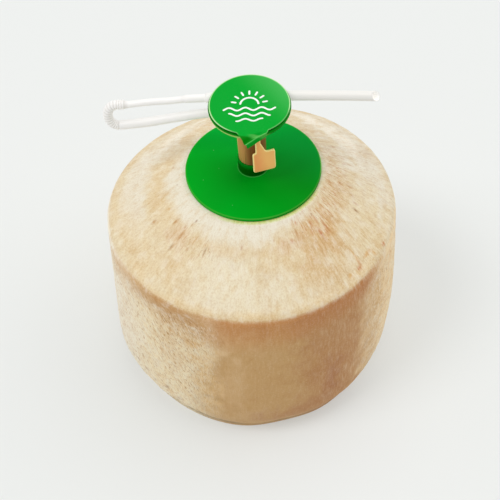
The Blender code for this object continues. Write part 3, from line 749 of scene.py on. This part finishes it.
def capProfile():
    # From the cap's middle over its rim and along its underside, then down the stem to its foot.
    plan = capPlan
    top, below = plan["top"], plan["top"] - plan["thickness"]
    foot = discPlan["socketFloor"] + openerPlan["gap"]
    radius, stem = plan["radius"], plan["stemRadius"]
    corners = [(0.0, top), (8.0, top), (radius, top), (radius, below), (stem, below), (stem, foot),
               (0.0, foot)]
    return roundCorners(corners, [0.2, 0.55, 0.5, 0.8, 0.5])


def skewCap(grid):
    # The cap's points rise towards the back, z + y pitch; the stem's stay.
    high = grid[..., 2] > capPlan["top"] - capPlan["thickness"] - 0.1
    grid[..., 2] += np.where(high, grid[..., 1] * capPlan["pitch"], 0.0)
    return grid


def openerFields(paint):
    # Millimetres from the opener's axis, sqrt(reach^2 - height^2), and height over the disc's rim.
    turn, foot = openerTurn()
    local = paint.vector("SUBTRACT", paint.place(), tuple(foot))
    height = paint.vector("DOT_PRODUCT", local, tuple(turn[:, 2]), output="Value")
    reach = paint.vector("LENGTH", local, (0.0, 0.0, 0.0), output="Value")
    square = reach * reach - height * height
    return square.math("SQRT", square), height


def plasticMaterial(name, plan, collar=None):
    # Moulded plastic: a slow change of tone, painted shade that darkens it towards the right, a few dust
    # specks, faint rubbing in the gloss, and a thin bright line where light comes through the rim. A collar
    # has painted shade, darkest at its foot, with a painted glint in front.
    paint = Paint(name, {"Specular IOR Level": 0.03})
    radius, height = openerFields(paint)
    across = paint.along((1.0, 0.0, 0.0))
    back = paint.along((0.35, 1.0, 0.0))
    slow = paint.noise(0.022, detail=1.0)
    # Painted shade: the green darkens towards the right; the noise is a slow change of tone.
    base = paint.mix(slow.step(0.4, 0.62) * 0.3 + across.step(-30.0, 30.0) * 0.7, plan["colour"],
                     openerPlan["dark"])
    base = paint.mix(paint.cells(0.19).step(0.055, 0.03) * 0.35, base, openerPlan["dust"])
    thin = back.step(plan["rimBack"], plan["rimBack"] + 10.0) * 0.6 + 0.08
    thin = thin * across.step(plan["rimRight"] + 6.0, plan["rimRight"])
    rim = radius.step(*plan["rimRadius"]) * height.step(*plan["rimHeight"])
    base = paint.mix(rim * thin, base, openerPlan["edge"])
    if collar:
        base = paint.mix(back.step(-10.0, 26.0) * 0.7, base, plan["back"])
        # A painted glint in front of the collar's foot, and painted shade over the collar, darkest at its
        # foot.
        glint = radius.step(collar + 0.02, collar + 0.14) * radius.step(collar + 0.45, collar + 0.3)
        glint = glint * height.step(2.0, 1.6) * back.step(4.0, -4.0)
        base = paint.mix(glint * 0.45, base, plan["glint"])
        ringed = paint.mix(height.step(4.4, 6.6), plan["collarFootShade"], plan["collarUpperShade"])
        base = paint.mix(radius.step(collar + 0.7, collar + 0.1) * height.step(0.5, 1.6), base, ringed)
    paint.link(base, "Base Color")
    paint.link(0.26 + paint.noise(0.4, detail=4.0) * 0.12, "Roughness")
    paint.bump(paint.noise(1.6, detail=2.0), 0.015)
    return paint.material


discGreen = plasticMaterial("discPlastic", discPlan, discPlan["collarRadius"])
capGreen = plasticMaterial("capPlastic", capPlan)
discMesh = turned("openerDisc", discProfile(), discPlan["columns"])
capMesh = turned("openerCap", capProfile(), capPlan["columns"], skewCap)
openerDisc = addPiece("openerDisc", discMesh, discGreen, "base_disc")
openerCap = addPiece("openerCap", capMesh, capGreen, "plunger")
print("disc and cap done")


# Lid: a thin foil with a drooping tab. Its flat points are x, to the right, and forth, towards the front.

lidPlan = {
    "radius": 16.6,
    "thickness": 0.22,
    "lift": 0.6,
    "tabOutline": [(-5.4, 15.4), (-0.9, 22.4), (6.6, 17.9), (7.8, 14.2)],
    "bendStart": 17.3,
    "bendRadius": 4.0,
    "droop": math.radians(42.0),
    "foldStart": 16.5,
    "crease": (1.0, 2.5, 0.95),      # across the tab: depth, distance from its lower edge, width
    "roll": (0.55, 1.0, 0.42),       # the rolled edge past it: height, distance, width
    "columns": 720,
    "foil": (0, 164, 46),
    "foilPaintedSheen": (84, 190, 98),
    "foilTooth": (110, 214, 130),
    "foilRimPaintedLight": (196, 242, 176),
    "tabPaintedLight": (92, 184, 84),
    "tabPaintedShade": (0, 126, 4),
    "tabPaintedHighlight": (150, 222, 140),
}


def bell(value, middle, width):
    # exp(-((value - middle) / width)^2)
    return np.exp(-(((value - middle) / width) ** 2))


def lidReach(angle):
    # How far the foil reaches at an angle from the front: a circle, or the tab's sides where they lie
    # outside it. A ray meets a side at cross(corner, side) / cross(ray, side).
    reach = np.full_like(angle, lidPlan["radius"])
    ray = np.stack([np.sin(angle), np.cos(angle)], axis=-1)
    corners = np.array(lidPlan["tabOutline"])
    for corner, side in zip(corners, np.diff(corners, axis=0)):
        across = ray[:, 0] * side[1] - ray[:, 1] * side[0]
        distance = (corner[0] * side[1] - corner[1] * side[0]) / np.where(np.abs(across) < 1e-9, 1e-9, across)
        along = (ray * distance[:, None] - corner) @ side / (side @ side)
        hit = (along >= -1e-6) & (along <= 1 + 1e-6) & (distance > 0)
        reach = np.where(hit, np.maximum(reach, distance), reach)
    return reach


def tabInside(x, forth):
    # Distance from the tab's lower edge, inwards.
    (leftX, leftForth), (rightX, rightForth) = lidPlan["tabOutline"][1:3]
    alongX, alongForth = rightX - leftX, rightForth - leftForth
    return ((x - leftX) * alongForth - (forth - leftForth) * alongX) / math.hypot(alongX, alongForth)


def lidSurface(x, forth, above):
    # The flat foil bent: past the bend's start it turns down on an arc; towards the front it lifts off the
    # cap by a smooth step. Near the tab's edge it falls into a crease and rises in a roll, each a bell of
    # the distance to that edge, and turns down by its square. above is the height over the underside.
    plan = lidPlan
    past = np.maximum(forth - plan["bendStart"], 0.0)
    turn = np.minimum(past / plan["bendRadius"], plan["droop"])
    rest = past - turn * plan["bendRadius"]
    out = np.minimum(forth, plan["bendStart"]) + plan["bendRadius"] * np.sin(turn) + rest * np.cos(turn)
    drop = plan["bendRadius"] * (1.0 - np.cos(turn)) + rest * np.sin(turn)
    inside = tabInside(x, forth)
    depth, *creaseAt = plan["crease"]
    rise, *rollAt = plan["roll"]
    folded = rise * bell(inside, *rollAt) - depth * bell(inside, *creaseAt) * smoothStep(8.0, 4.0, x)
    folded = folded - 0.55 * np.clip(1.0 - inside / 0.8, 0.0, 1.0) ** 2
    height = capPlan["top"] + openerPlan["gap"] + plan["lift"] * smoothStep(6.0, 16.0, forth) - drop
    height = height - out * capPlan["pitch"] + folded * smoothStep(15.0, 17.0, forth)
    return np.stack([x, -out, height + above], axis=-1)


def paintTab(x, forth):
    # The folded tab's painted light and shade; the alpha is 1 on the tab. Past the fold line it has painted
    # light on the right and painted shade on the left; along the edge run a painted highlight, a bell of the
    # distance to it, and painted shade on the roll.
    inside = tabInside(x, forth)
    below = forth - lidPlan["foldStart"]
    slanted = below - 0.12 * x
    light = smoothStep(0.0, 0.35, below) * smoothStep(2.2, 1.0, slanted) * smoothStep(-1.5, 2.5, x)
    dark = smoothStep(0.9, 1.8, slanted) * smoothStep(1.6, 2.2, inside)
    dark = dark * (0.5 + 0.5 * smoothStep(3.0, -1.0, x))
    shine = bell(inside, 1.35, 0.34) * smoothStep(16.0, 17.0, forth)
    rolled = smoothStep(0.95, 0.6, inside)
    colour = np.broadcast_to(linear(*lidPlan["foil"]), (*x.shape, 3)).copy()
    for name, share in (("tabPaintedLight", 0.9 * light), ("tabPaintedShade", 0.95 * dark), ("tabPaintedHighlight", 0.75 * shine),
                        ("tabPaintedShade", 0.5 * rolled)):
        colour = colour + (linear(*lidPlan[name]) - colour) * share[..., None]
    return np.concatenate([colour, smoothStep(14.6, 15.6, forth)[..., None]], axis=-1)


def makeLid():
    # Rings at growing shares of the reach: out over the top face, round the thin edge on a half circle and
    # back in underneath. rim is 1 where the light comes through the edge.
    plan = lidPlan
    angle = np.linspace(-math.pi, math.pi, plan["columns"], endpoint=False)
    reach = lidReach(angle)
    flatEnd = 0.992
    share = np.concatenate([np.linspace(0.08, 0.6, 10), np.linspace(0.62, flatEnd, 48)])
    edge = np.linspace(0.0, math.pi, 5)[1:-1]
    shares = np.concatenate([share, flatEnd + (1.0 - flatEnd) * np.sin(edge), share[::-1]])[:, None]
    above = np.concatenate([np.ones(len(share)), 0.5 + 0.5 * np.cos(edge), np.zeros(len(share))])[:, None]
    x, forth = reach * shares * np.sin(angle), reach * shares * np.cos(angle)
    grid = lidSurface(x, forth, above * plan["thickness"])
    middle = np.zeros(1)
    poles = [inOpener(lidSurface(middle, middle, height)) for height in (plan["thickness"], 0.0)]
    rim = smoothStep(0.966, 0.984, shares) * smoothStep(17.2, 16.0, forth)
    rim = rim * (1.0 - 0.75 * smoothStep(2.0, 11.0, forth + 0.9 * x) * smoothStep(2.0, 6.0, forth))
    values = {"rim": np.vstack([rim.reshape(-1, 1), np.zeros((2, 1))]),
              "tab": np.vstack([paintTab(x, forth).reshape(-1, 4), np.zeros((2, 4))])}
    return surfaceMesh("lidSheet", inOpener(grid), poles=poles, values=values)


def foilMaterial():
    # Printed foil: green with a painted sheen to the right and the back, a fine tooth and small dents.
    plan = lidPlan
    paint = Paint("lidFoil", {"Specular IOR Level": 0.06, "Roughness": 0.36})
    tooth = paint.noise(3.0)
    base = paint.mix(paint.along((0.8, 0.6, 0.0)).step(0.0, 25.0), plan["foil"], plan["foilPaintedSheen"])
    base = paint.mix(tooth.step(0.5, 0.7) * 0.04, base, plan["foilTooth"])
    # The tab's painted light and shade.
    base = paint.mix(paint.attribute("tab", "Alpha"), base, paint.attribute("tab", "Color"))
    # Painted light along the foil's edge, weaker towards the front.
    base = paint.mix(paint.attribute("rim") * 0.85, base, plan["foilRimPaintedLight"])
    paint.link(base, "Base Color")
    paint.bump(tooth * 0.06 + paint.noise(0.12, detail=2.0), 0.25)
    return paint.material


lidSheet = addPiece("lidSheet", makeLid(), foilMaterial(), "lid_foil")


# Print on the lid: a plain rising sun over waves

printPlan = {
    "strokeWidth": 0.8,
    "height": 0.05,
    "depth": 0.05,                   # how far the strokes reach into the foil
    "sunCentre": (0.0, 0.2),
    "sunRadius": 3.7,
    "rays": 7,
    "rayReach": (5.3, 7.7),
    "waves": [(2.6, 10.8, 0.75), (5.6, 8.6, 0.7), (8.6, 5.6, 0.65)],     # forth, half length, swing
    "waveTurn": 0.95,                # radians to a millimetre
    "ink": (246, 250, 244),
    "inkThin": (150, 220, 165),
}


def strokeMesh(line):
    # A flat strip along a line (x, forth) on the lid, half the width to each side, with thin walls. Its
    # ends are round: the width follows sqrt(1 - (1 - way from the end / half)^2).
    steps = np.linalg.norm(np.diff(line, axis=0), axis=1)
    along = np.concatenate([[0.0], np.cumsum(steps)])
    fromEnd = np.minimum(along, along[-1] - along)
    half = printPlan["strokeWidth"] / 2.0
    ahead = np.gradient(line, axis=0)
    ahead /= np.linalg.norm(ahead, axis=1, keepdims=True)
    width = np.sqrt(np.clip(1.0 - np.clip(1.0 - fromEnd / half, 0.0, 1.0) ** 2, 0.04, 1.0)) * half
    side = np.stack([-ahead[:, 1], ahead[:, 0]], axis=-1) * width[:, None]
    top = lidPlan["thickness"] + printPlan["height"]
    low = lidPlan["thickness"] - printPlan["depth"]
    corners = [(line + side, top), (line - side, top), (line - side, low), (line + side, low)]
    placed = inOpener(np.stack([lidSurface(*spot.T, height) for spot, height in corners], axis=1))
    return surfaceMesh("stroke", placed, poles=endPoles(placed))


def arcLine(centre, radius, low, high):
    # Part of a circle, centre + radius (cos a, -sin a); angles run from the right over the back.
    turn = np.radians(np.linspace(low, high, 60))
    return np.stack([centre[0] + radius * np.cos(turn), centre[1] - radius * np.sin(turn)], axis=-1)


def rayLine(centre, reach, degrees):
    # A straight stroke away from the centre, from the first reach to the second.
    turn = math.radians(degrees)
    away = np.linspace(*reach, 8)[:, None]
    return np.array(centre) + away * (math.cos(turn), -math.sin(turn))


def waveLine(forth, halfLength, swing):
    # A wave across the lid: forth + swing sin(x waveTurn).
    x = np.linspace(-halfLength, halfLength, 90)
    return np.stack([x, forth + swing * np.sin(x * printPlan["waveTurn"])], axis=-1)


def makePrint():
    # Half a circle, rays in a fan above it and three waves below, joined to one mesh.
    plan = printPlan
    lines = [arcLine(plan["sunCentre"], plan["sunRadius"], 0.0, 180.0)]
    turns = np.linspace(12.0, 168.0, plan["rays"])
    lines += [rayLine(plan["sunCentre"], plan["rayReach"], turn) for turn in turns]
    lines += [waveLine(*wave) for wave in plan["waves"]]
    joined = bmesh.new()
    for line in lines:
        joined.from_mesh(strokeMesh(line))
    mesh = bpy.data.meshes.new("lidPrint")
    joined.to_mesh(mesh)
    joined.free()
    return smoothShaded(mesh, 40.0)


def inkMaterial():
    # White ink, a little thin in places.
    paint = Paint("lidInk", {"Roughness": 0.45, "Specular IOR Level": 0.3})
    thin = paint.noise(1.2).step(0.56, 0.72) * 0.18
    paint.link(paint.mix(thin, printPlan["ink"], printPlan["inkThin"]), "Base Color")
    return paint.material


lidPrint = addPiece("lidPrint", makePrint(), inkMaterial())
print("lid done")


# Lock clip: sleeve, pull tag and the tag's root

sleevePlan = {
    "walls": (6.3, 5.3),             # outer and inner radius at the top
    "taper": 0.93,                   # at the bottom, as a share of the top's
    "top": 35.0,
    "bottom": 7.5,
    "near": 0.06,                    # points this close to a wall move onto its circle
    "cuts": 48,
    "front": 6.32,                   # what lies further forward is the tag's, and is cut off
    # The sleeve's colours hold painted shade from the cap above; its edge tone is painted light.
    "colour": (196, 142, 84),
    "dark": (130, 84, 46),
    "edge": (255, 240, 160),
}

tagPlan = {
    "centre": (4.8, -9.5, 126.2),
    "side": 9.8,
    "corner": 1.0,
    "thickness": 1.1,
    "yaw": 19.0,
    "lean": 10.0,
    "neckWidth": 2.3,
    "neckLength": 9.0,
    "neckShift": -2.35,
    "neckFlare": [(0.2, 1.5), (-1.2, 4.6)],      # its right side, from the tag's upper edge
    "neckFillets": (0.4, 1.8),
    "rounding": 0.5,
    "faceInset": 0.35,
    "colour": (250, 190, 112),
    "deep": (240, 162, 96),
}

rootPlan = {
    "size": (2.3, 2.1),
    "corner": 0.4,
    "depth": (-0.3, 3.1),
    "drop": 1.2,                     # below the neck's upper end
    "ends": [(0.0, 0.72), (0.12, 0.9), (0.4, 1.0)],      # distance from an end, and the section's share there
}


def makeSleeve():
    # The solid's sleeve, merged; its tag and neck are cut off flush with the front, for a finer tag. Cuts
    # through the axis add points every few degrees, and a wall's points move out to its true circle.
    plan = sleevePlan
    turn, foot = openerTurn()
    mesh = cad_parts["lock_clip"].data.copy()
    work = bmesh.new()
    work.from_mesh(mesh)
    bmesh.ops.remove_doubles(work, verts=work.verts, dist=1e-6)

    def cutThrough(place, normal, **options):
        parts = work.verts[:] + work.edges[:] + work.faces[:]
        made = bmesh.ops.bisect_plane(work, geom=parts, plane_co=place * mm, plane_no=normal, **options)
        return made["geom_cut"]

    cut = cutThrough(foot - turn[:, 1] * plan["front"], -turn[:, 1], clear_outer=True)
    rim = [edge for edge in cut if isinstance(edge, bmesh.types.BMEdge)]
    bmesh.ops.holes_fill(work, edges=rim, sides=0)
    for angle in np.linspace(0.0, math.pi, plan["cuts"], endpoint=False) + 0.01:
        cutThrough(foot, turn @ (math.cos(angle), math.sin(angle), 0.0))
    for vertex in work.verts:
        local = turn.T @ (np.array(vertex.co) / mm - foot)
        radius = math.hypot(local[0], local[1])
        taper = 1.0 + (plan["taper"] - 1.0) * (plan["top"] - local[2]) / (plan["top"] - plan["bottom"])
        for wall in plan["walls"]:
            if abs(radius - wall * taper) < plan["near"]:
                local[:2] *= wall * taper / radius
                vertex.co = (turn @ local + foot) * mm
    work.to_mesh(mesh)
    work.free()
    return smoothShaded(mesh, 40.0)


def arcPoints(centre, radius, low, high, steps):
    # Points on a circle from low to high degrees: centre + radius (cos a, sin a).
    turn = np.radians(np.linspace(low, high, steps + 1))
    return np.stack([centre[0] + radius * np.cos(turn), centre[1] + radius * np.sin(turn)], axis=-1)


def tagTurn():
    # The tag's own axes, and the yaw alone.
    yaw = Matrix.Rotation(math.radians(tagPlan["yaw"]), 3, "Z")
    return np.array(yaw @ Matrix.Rotation(math.radians(90.0 - tagPlan["lean"]), 3, "X")), np.array(yaw)


def tagOutline():
    # A square with round corners, drawn up near its left corner to a neck that narrows on the right: arcs
    # and straight pieces, counter-clockwise from the lower right.
    plan = tagPlan
    half, corner = plan["side"] / 2.0, plan["corner"]
    inset = half - corner
    left, right = (plan["neckShift"] + side * plan["neckWidth"] / 2.0 for side in (-1, 1))
    small, large = plan["neckFillets"]
    top = half + plan["neckLength"]
    flare = [(x, half + up) for x, up in plan["neckFlare"]]
    parts = [arcPoints((inset, -inset), corner, -90, 0, 8),
             arcPoints((inset, inset), corner, 0, 90, 8),
             arcPoints((flare[0][0] + large, half + large), large, -90, -155, 10),
             flare + [(right, top - 3.0), (right, top), (left, top), (left, top - 3.0)],
             arcPoints((left - small, half + small), small, 0, -90, 6),
             arcPoints((-inset, inset), corner, 90, 180, 8),
             arcPoints((-inset, -inset), corner, 180, 270, 8)]
    return np.vstack(parts)


def makeTag():
    # The outline carried over the plate's edge, a half circle: outwards by rounding (sin b - 1), across
    # by rounding cos b. Two flat faces close it. rim is 1 at the edge's middle and fades on the faces.
    plan = tagPlan
    line = tagOutline()
    line = line[np.linalg.norm(line - np.roll(line, 1, axis=0), axis=1) > 1e-4]
    ahead = np.roll(line, -1, axis=0) - np.roll(line, 1, axis=0)
    ahead /= np.linalg.norm(ahead, axis=1, keepdims=True)
    outward = np.stack([ahead[:, 1], -ahead[:, 0]], axis=-1)
    half, rounding = plan["thickness"] / 2.0, plan["rounding"]
    bend = np.radians([0, *range(0, 181, 18), 180])[:, None, None]
    extra = np.zeros_like(bend)
    extra[[0, -1]] = plan["faceInset"]
    flat = line[None] + outward[None] * (rounding * (np.sin(bend) - 1.0) - extra)
    across = np.where(np.cos(bend) >= 0.0, half - rounding, rounding - half) + rounding * np.cos(bend)
    grid = np.concatenate([flat, np.broadcast_to(across, (*flat.shape[:2], 1))], axis=-1)
    placed = (grid @ tagTurn()[0].T + plan["centre"]).reshape(-1, 3) * mm
    index = np.arange(len(placed)).reshape(grid.shape[:2])
    low, high = index[:-1], index[1:]
    quads = np.stack([low, high, np.roll(high, -1, axis=1), np.roll(low, -1, axis=1)], axis=-1).reshape(-1, 4)
    faces = quads.tolist() + [index[0].tolist(), index[-1][::-1].tolist()]
    rim = np.broadcast_to(np.maximum(0.3 + 0.7 * np.sin(bend) - extra, 0.0), (*index.shape, 1))
    return newMesh("pullTag", placed, faces, {"rim": rim.reshape(-1, 1)}, 50.0)


def makeRoot():
    # A short bar from the neck's head back into the sleeve: a rounded square, its end rows drawn in.
    plan = rootPlan
    width, height = (side / 2.0 - plan["corner"] for side in plan["size"])
    section = np.vstack([arcPoints((x * width, up * height), plan["corner"], start, start + 90.0, 6)
                         for x, up, start in ((1, 1, 0.0), (-1, 1, 90.0), (-1, -1, 180.0), (1, -1, 270.0))])
    (near, far), (way, share) = plan["depth"], np.array(plan["ends"]).T
    depth = np.concatenate([near + way, far - way[::-1]])[:, None]
    shrink = np.concatenate([share, share[::-1]])[:, None]
    grid = np.stack([section[:, 0] * shrink, depth + 0.0 * section[:, 0], section[:, 1] * shrink], axis=-1)
    turn, yaw = tagTurn()
    up = tagPlan["side"] / 2.0 + tagPlan["neckLength"] - plan["drop"]
    placed = grid @ yaw.T + (turn @ (tagPlan["neckShift"], up, 0.0) + tagPlan["centre"])
    return surfaceMesh("tagRoot", placed, poles=endPoles(placed))


def clipMaterial():
    # Translucent tan plastic: cloudy, fine moulding grain, painted shade on the sleeve under the cap, darker
    # to its right, with painted light on its left edge, and painted light along the tag's rim, where the
    # light comes through. The colour is fed to the emission too: a painted glow.
    paint = Paint("clipPlastic", {"Specular IOR Level": 0.15, "Roughness": 0.38, "Emission Strength": 0.13})
    radius, _ = openerFields(paint)
    along = paint.along((1.0, 0.1, 0.25)) + paint.noise(0.13, detail=2.0) * 6.0
    side = paint.along((1.0, -0.35, 0.04))
    base = paint.mix(along.step(34.0, 41.0), tagPlan["deep"], tagPlan["colour"])
    # Painted shade on the sleeve, darker to its right, and painted light on its left edge.
    sleeve = paint.mix(side.step(2.2, 6.5), sleevePlan["colour"], sleevePlan["dark"])
    sleeve = paint.mix(side.step(-0.15, -0.9) * 0.9, sleeve, sleevePlan["edge"])
    base = paint.mix(radius.step(6.9, 6.4), base, sleeve)
    base = paint.mix(paint.attribute("rim").step(0.1, 0.9) * 0.85, base, sleevePlan["edge"])
    paint.link(base, "Base Color")
    # A painted glow: the clip gives off light in its own colour.
    paint.link(base, "Emission Color")
    paint.bump(paint.noise(1.4), 0.03)
    return paint.material


clipPaint = clipMaterial()
lockSleeve = addPiece("lockSleeve", makeSleeve(), clipPaint, "lock_clip")
pullTag = addPiece("pullTag", makeTag(), clipPaint)
tagRoot = addPiece("tagRoot", makeRoot(), clipPaint)
print("clip done")


# Straw: its centre line (x, z) lies in one upright plane

strawPlan = {
    "y": 8.5,
    "wall": 0.25,
    "columns": 48,
    "radius": 2.1,
    "colour": (226, 224, 222),
    "right": (214, 212, 207),
    "lines": (224, 220, 214),
    "groove": (182, 176, 168),
    "inner": (246, 244, 240),
    # A painted glow that brightens the straw.
    "paintedGlow": (1.0, 0.99, 0.95, 1.0),
    "paintedGlowStrength": 0.21,
}

tubePlan = {
    "route": [(-19.5, 144.9), (-10, 145.4), (0, 145.85), (10, 146.15), (20, 146.3), (36, 146.25),
              (54, 145.85)],
    "rows": 60,
    "cutX": 50.9,
    "cutDegrees": 40.0,
    "cutFaces": (-0.63, 0.78),       # the slant looks to the front and up
}

bendPlan = {
    "thinRadius": 1.45,
    "flareRadius": 1.7,
    "flareX": (-28.6, -28.0),
    "thinRoute": [(-11.5, 145.3), (-19.2, 144.8), (-28.2, 144.2), (-33, 143.4), (-43.4, 142.4),
                  (-51.5, 141.1)],
    "centre": (-56.4, 134.9),
    "halfWidth": 4.3,
    "halfHeight": 6.0,
    "ribs": 13,
    "ribDepth": 0.35,
    "ribsFrom": (-53.4, 141.0),
    "leadRibs": 3,
    "turnOut": [(-55.9, 128.95, 2.0), (-55.3, 129.05, 2.05), (-54.2, 129.22, 2.05)],     # x, z and radius
    "legRadius": 2.05,
    "legRoute": [(-52.0, 129.5), (-44.1, 130.8), (-33.5, 133.2), (-22.9, 135.5), (-12.0, 137.3),
                 (-4.0, 138.3), (6.0, 139.2)],
    "samples": 60,
}


def strawWall(centre, ahead, radius):
    # Points round the centre line: centre + radius (cos a normal + sin a depth), the normal being ahead
    # turned a quarter in the upright plane.
    angle = np.linspace(0.0, fullTurn, strawPlan["columns"], endpoint=False)
    ahead = ahead / np.linalg.norm(ahead, axis=-1, keepdims=True)
    out = radius * np.cos(angle)
    x, z = centre[..., 0], centre[..., 1]
    y = strawPlan["y"] + radius * np.sin(angle) + 0.0 * x
    return np.stack([x - ahead[..., 1] * out, y, z + ahead[..., 0] * out], axis=-1)


def makeTube():
    # Outer wall from the socket end to the slanted end, then the inner wall back. Every row's share is
    # scaled so that the last row lies in the cut, found in steps of (distance to the cut) / slope.
    plan = tubePlan
    slant = math.radians(plan["cutDegrees"])
    normal = np.array([math.cos(slant), *(np.array(plan["cutFaces"]) * math.sin(slant))])
    tip = np.array([plan["cutX"], strawPlan["y"], plan["route"][-1][1]])
    length = plan["route"][-1][0] - plan["route"][0][0]
    rows = np.linspace(0.0, 1.0, plan["rows"])[:, None]

    def wallAt(share, radius, step=1e-3):
        before, here, after = (throughPoints(plan["route"], np.clip(share + shift, 0.0, 1.0))
                               for shift in (-step, 0.0, step))
        return strawWall(here, after - before, radius)

    walls = []
    for radius, order in ((strawPlan["radius"], 1), (strawPlan["radius"] - strawPlan["wall"], -1)):
        end = np.full((1, strawPlan["columns"]), 0.95)
        for _ in range(12):
            end = end - ((wallAt(end, radius) - tip) @ normal) / (normal[0] * length)
        walls.append(wallAt((rows * end)[::order], radius))
    inner = np.repeat([[0.0], [1.0]], len(rows) * strawPlan["columns"], axis=0)
    return surfaceMesh("strawTube", np.concatenate(walls), wrapRows=True, values={"inner": inner})


def bendPath():
    # Centre points, radii and how much painted shade lies in the grooves: the thin tube, half an ellipse with
    # ribs, and the leg. The radius falls in each groove by depth swing^2, where swing goes from 1 to 0 as a
    # cosine.
    plan = bendPlan
    share = np.linspace(0.0, 1.0, plan["samples"])
    thin = throughPoints(plan["thinRoute"], share)
    leg = throughPoints(plan["legRoute"], share)
    flare = (plan["flareRadius"] - plan["thinRadius"]) * smoothStep(*plan["flareX"], thin[:, 0])
    turn = np.linspace(0.0, math.pi, plan["ribs"] * 10 + 1)
    fold = np.stack([plan["centre"][0] - plan["halfWidth"] * np.sin(turn),
                     plan["centre"][1] + plan["halfHeight"] * np.cos(turn)], axis=-1)
    leadShare = np.linspace(0.0, 1.0, plan["leadRibs"] * 10 + 1)[:-1]
    lead = np.array(plan["ribsFrom"]) + leadShare[:, None] * (fold[0] - plan["ribsFrom"])
    phase = np.concatenate([fullTurn * plan["leadRibs"] * leadShare, 2.0 * turn * plan["ribs"]])
    groove = 0.5 + 0.5 * np.cos(phase)
    turnOut = np.array(plan["turnOut"])
    path = np.concatenate([thin, lead, fold, turnOut[:, :2], leg])
    radii = np.concatenate([plan["thinRadius"] + flare, strawPlan["radius"] - plan["ribDepth"] * groove**2,
                            turnOut[:, 2], np.full(len(leg), plan["legRadius"])])
    step = 0.4 * bell(thin[:, 0], -28.9, 0.5)    # a faint line where the tube widens
    return path, radii, np.concatenate([step, groove**3, np.zeros(len(turnOut) + len(leg))])


def makeBend():
    # The tube round that path, with its own radius at each point, outside and back inside.
    path, radii, dark = bendPath()
    ahead = np.gradient(path, axis=0)
    walls = [strawWall(path[:, None], ahead[:, None], (radii - inset)[:, None])[::order]
             for inset, order in ((0.0, 1), (strawPlan["wall"], -1))]
    outside = np.repeat(dark, strawPlan["columns"])
    groove = np.concatenate([outside, np.zeros_like(outside)])[:, None]
    return surfaceMesh("strawBend", np.concatenate(walls), wrapRows=True, values={"groove": groove})


def strawMaterial():
    # White polypropylene: milky, a hint of draw lines along it, darker towards the right, painted shade in
    # the grooves, painted light on the inside and a painted glow.
    plan = strawPlan
    paint = Paint("strawPlastic", {"Specular IOR Level": 0.3, "Emission Color": plan["paintedGlow"],
                                   "Emission Strength": plan["paintedGlowStrength"]})
    lines = paint.noise((0.02, 1.6, 1.6))
    base = paint.mix(paint.along((1.0, 0.0, 0.0)).step(-20.0, 20.0), plan["colour"], plan["right"])
    base = paint.mix(lines.step(0.45, 0.65) * 0.4, base, plan["lines"])
    # Painted shade in the grooves of the bend.
    base = paint.mix(paint.attribute("groove") * 0.5, base, plan["groove"])
    # Painted light on the inside, which shows at the slanted end.
    base = paint.mix(paint.attribute("inner"), base, plan["inner"])
    paint.link(base, "Base Color")
    paint.link(0.28 + lines * 0.15, "Roughness")
    return paint.material


strawPaint = strawMaterial()
strawTube = addPiece("strawTube", makeTube(), strawPaint, "straw_tube")
strawBend = addPiece("strawBend", makeBend(), strawPaint, "straw_bend")
print("straw done")


# Floor, light and camera

stagePlan = {
    "floor": (178, 180, 179),
    "floorSize": 8.0,                # metres
    "floorGlow": 0.38,               # a back-lit table: it fills the shadows
    "floorGlowColour": (0.985, 1.0, 0.975, 1.0),
    "ambient": 0.35,
    "lamps": {                       # strength, size in degrees, direction it comes from
        "top": (1.25, 80.0, (0.38, 0.26, 1.0)),
        "key": (1.05, 24.0, (-0.62, -0.3, 1.0)),
        "left": (0.35, 40.0, (-1.0, 0.1, 0.6)),
        "right": (0.3, 60.0, (1.0, 0.1, 0.8)),
    },
    "cameraLens": 93.6,
    "cameraElevation": 51.25,
    "cameraDistance": 601.8,
    "cameraTarget": (-1.11, 0.0, 55.08),
}


def makeStage():
    # A plane at height 0, an even white surrounding and broad sun lamps, each along its direction.
    plan = stagePlan
    bpy.ops.mesh.primitive_plane_add(size=plan["floorSize"], location=(0.0, 0.0, 0.0))
    floor = bpy.context.object
    floor.name = "floor"
    paint = Paint("floorPaper", {"Base Color": (*linear(*plan["floor"]), 1.0), "Roughness": 0.9,
                                 "Specular IOR Level": 0.0, "Emission Color": plan["floorGlowColour"],
                                 "Emission Strength": plan["floorGlow"]})
    floor.data.materials.append(paint.material)
    world = bpy.data.worlds.new("studio")
    bpy.context.scene.world = world
    world.use_nodes = True
    background = world.node_tree.nodes["Background"]
    background.inputs["Color"].default_value = (1.0, 1.0, 1.0, 1.0)
    background.inputs["Strength"].default_value = plan["ambient"]
    for name, (strength, size, towards) in plan["lamps"].items():
        lamp = bpy.data.lights.new(name, "SUN")
        lamp.energy = strength
        lamp.angle = math.radians(size)
        holder = bpy.data.objects.new(name, lamp)
        holder.rotation_euler = Vector(towards).to_track_quat("Z", "Y").to_euler()
        bpy.context.scene.collection.objects.link(holder)


def makeCamera():
    # It looks at the target from the front: target + distance (0, -cos elevation, sin elevation).
    lens = bpy.data.cameras.new("camera")
    lens.lens = stagePlan["cameraLens"]
    lens.clip_start = 0.01
    camera = bpy.data.objects.new("camera", lens)
    lift = math.radians(stagePlan["cameraElevation"])
    away = Vector((0.0, -math.cos(lift), math.sin(lift))) * stagePlan["cameraDistance"]
    camera.location = (Vector(stagePlan["cameraTarget"]) + away) * mm
    camera.rotation_euler = (math.pi / 2.0 - lift, 0.0, 0.0)
    bpy.context.scene.collection.objects.link(camera)
    bpy.context.scene.camera = camera


makeStage()
makeCamera()
bpy.context.scene.view_settings.view_transform = "Standard"
print("stage done")
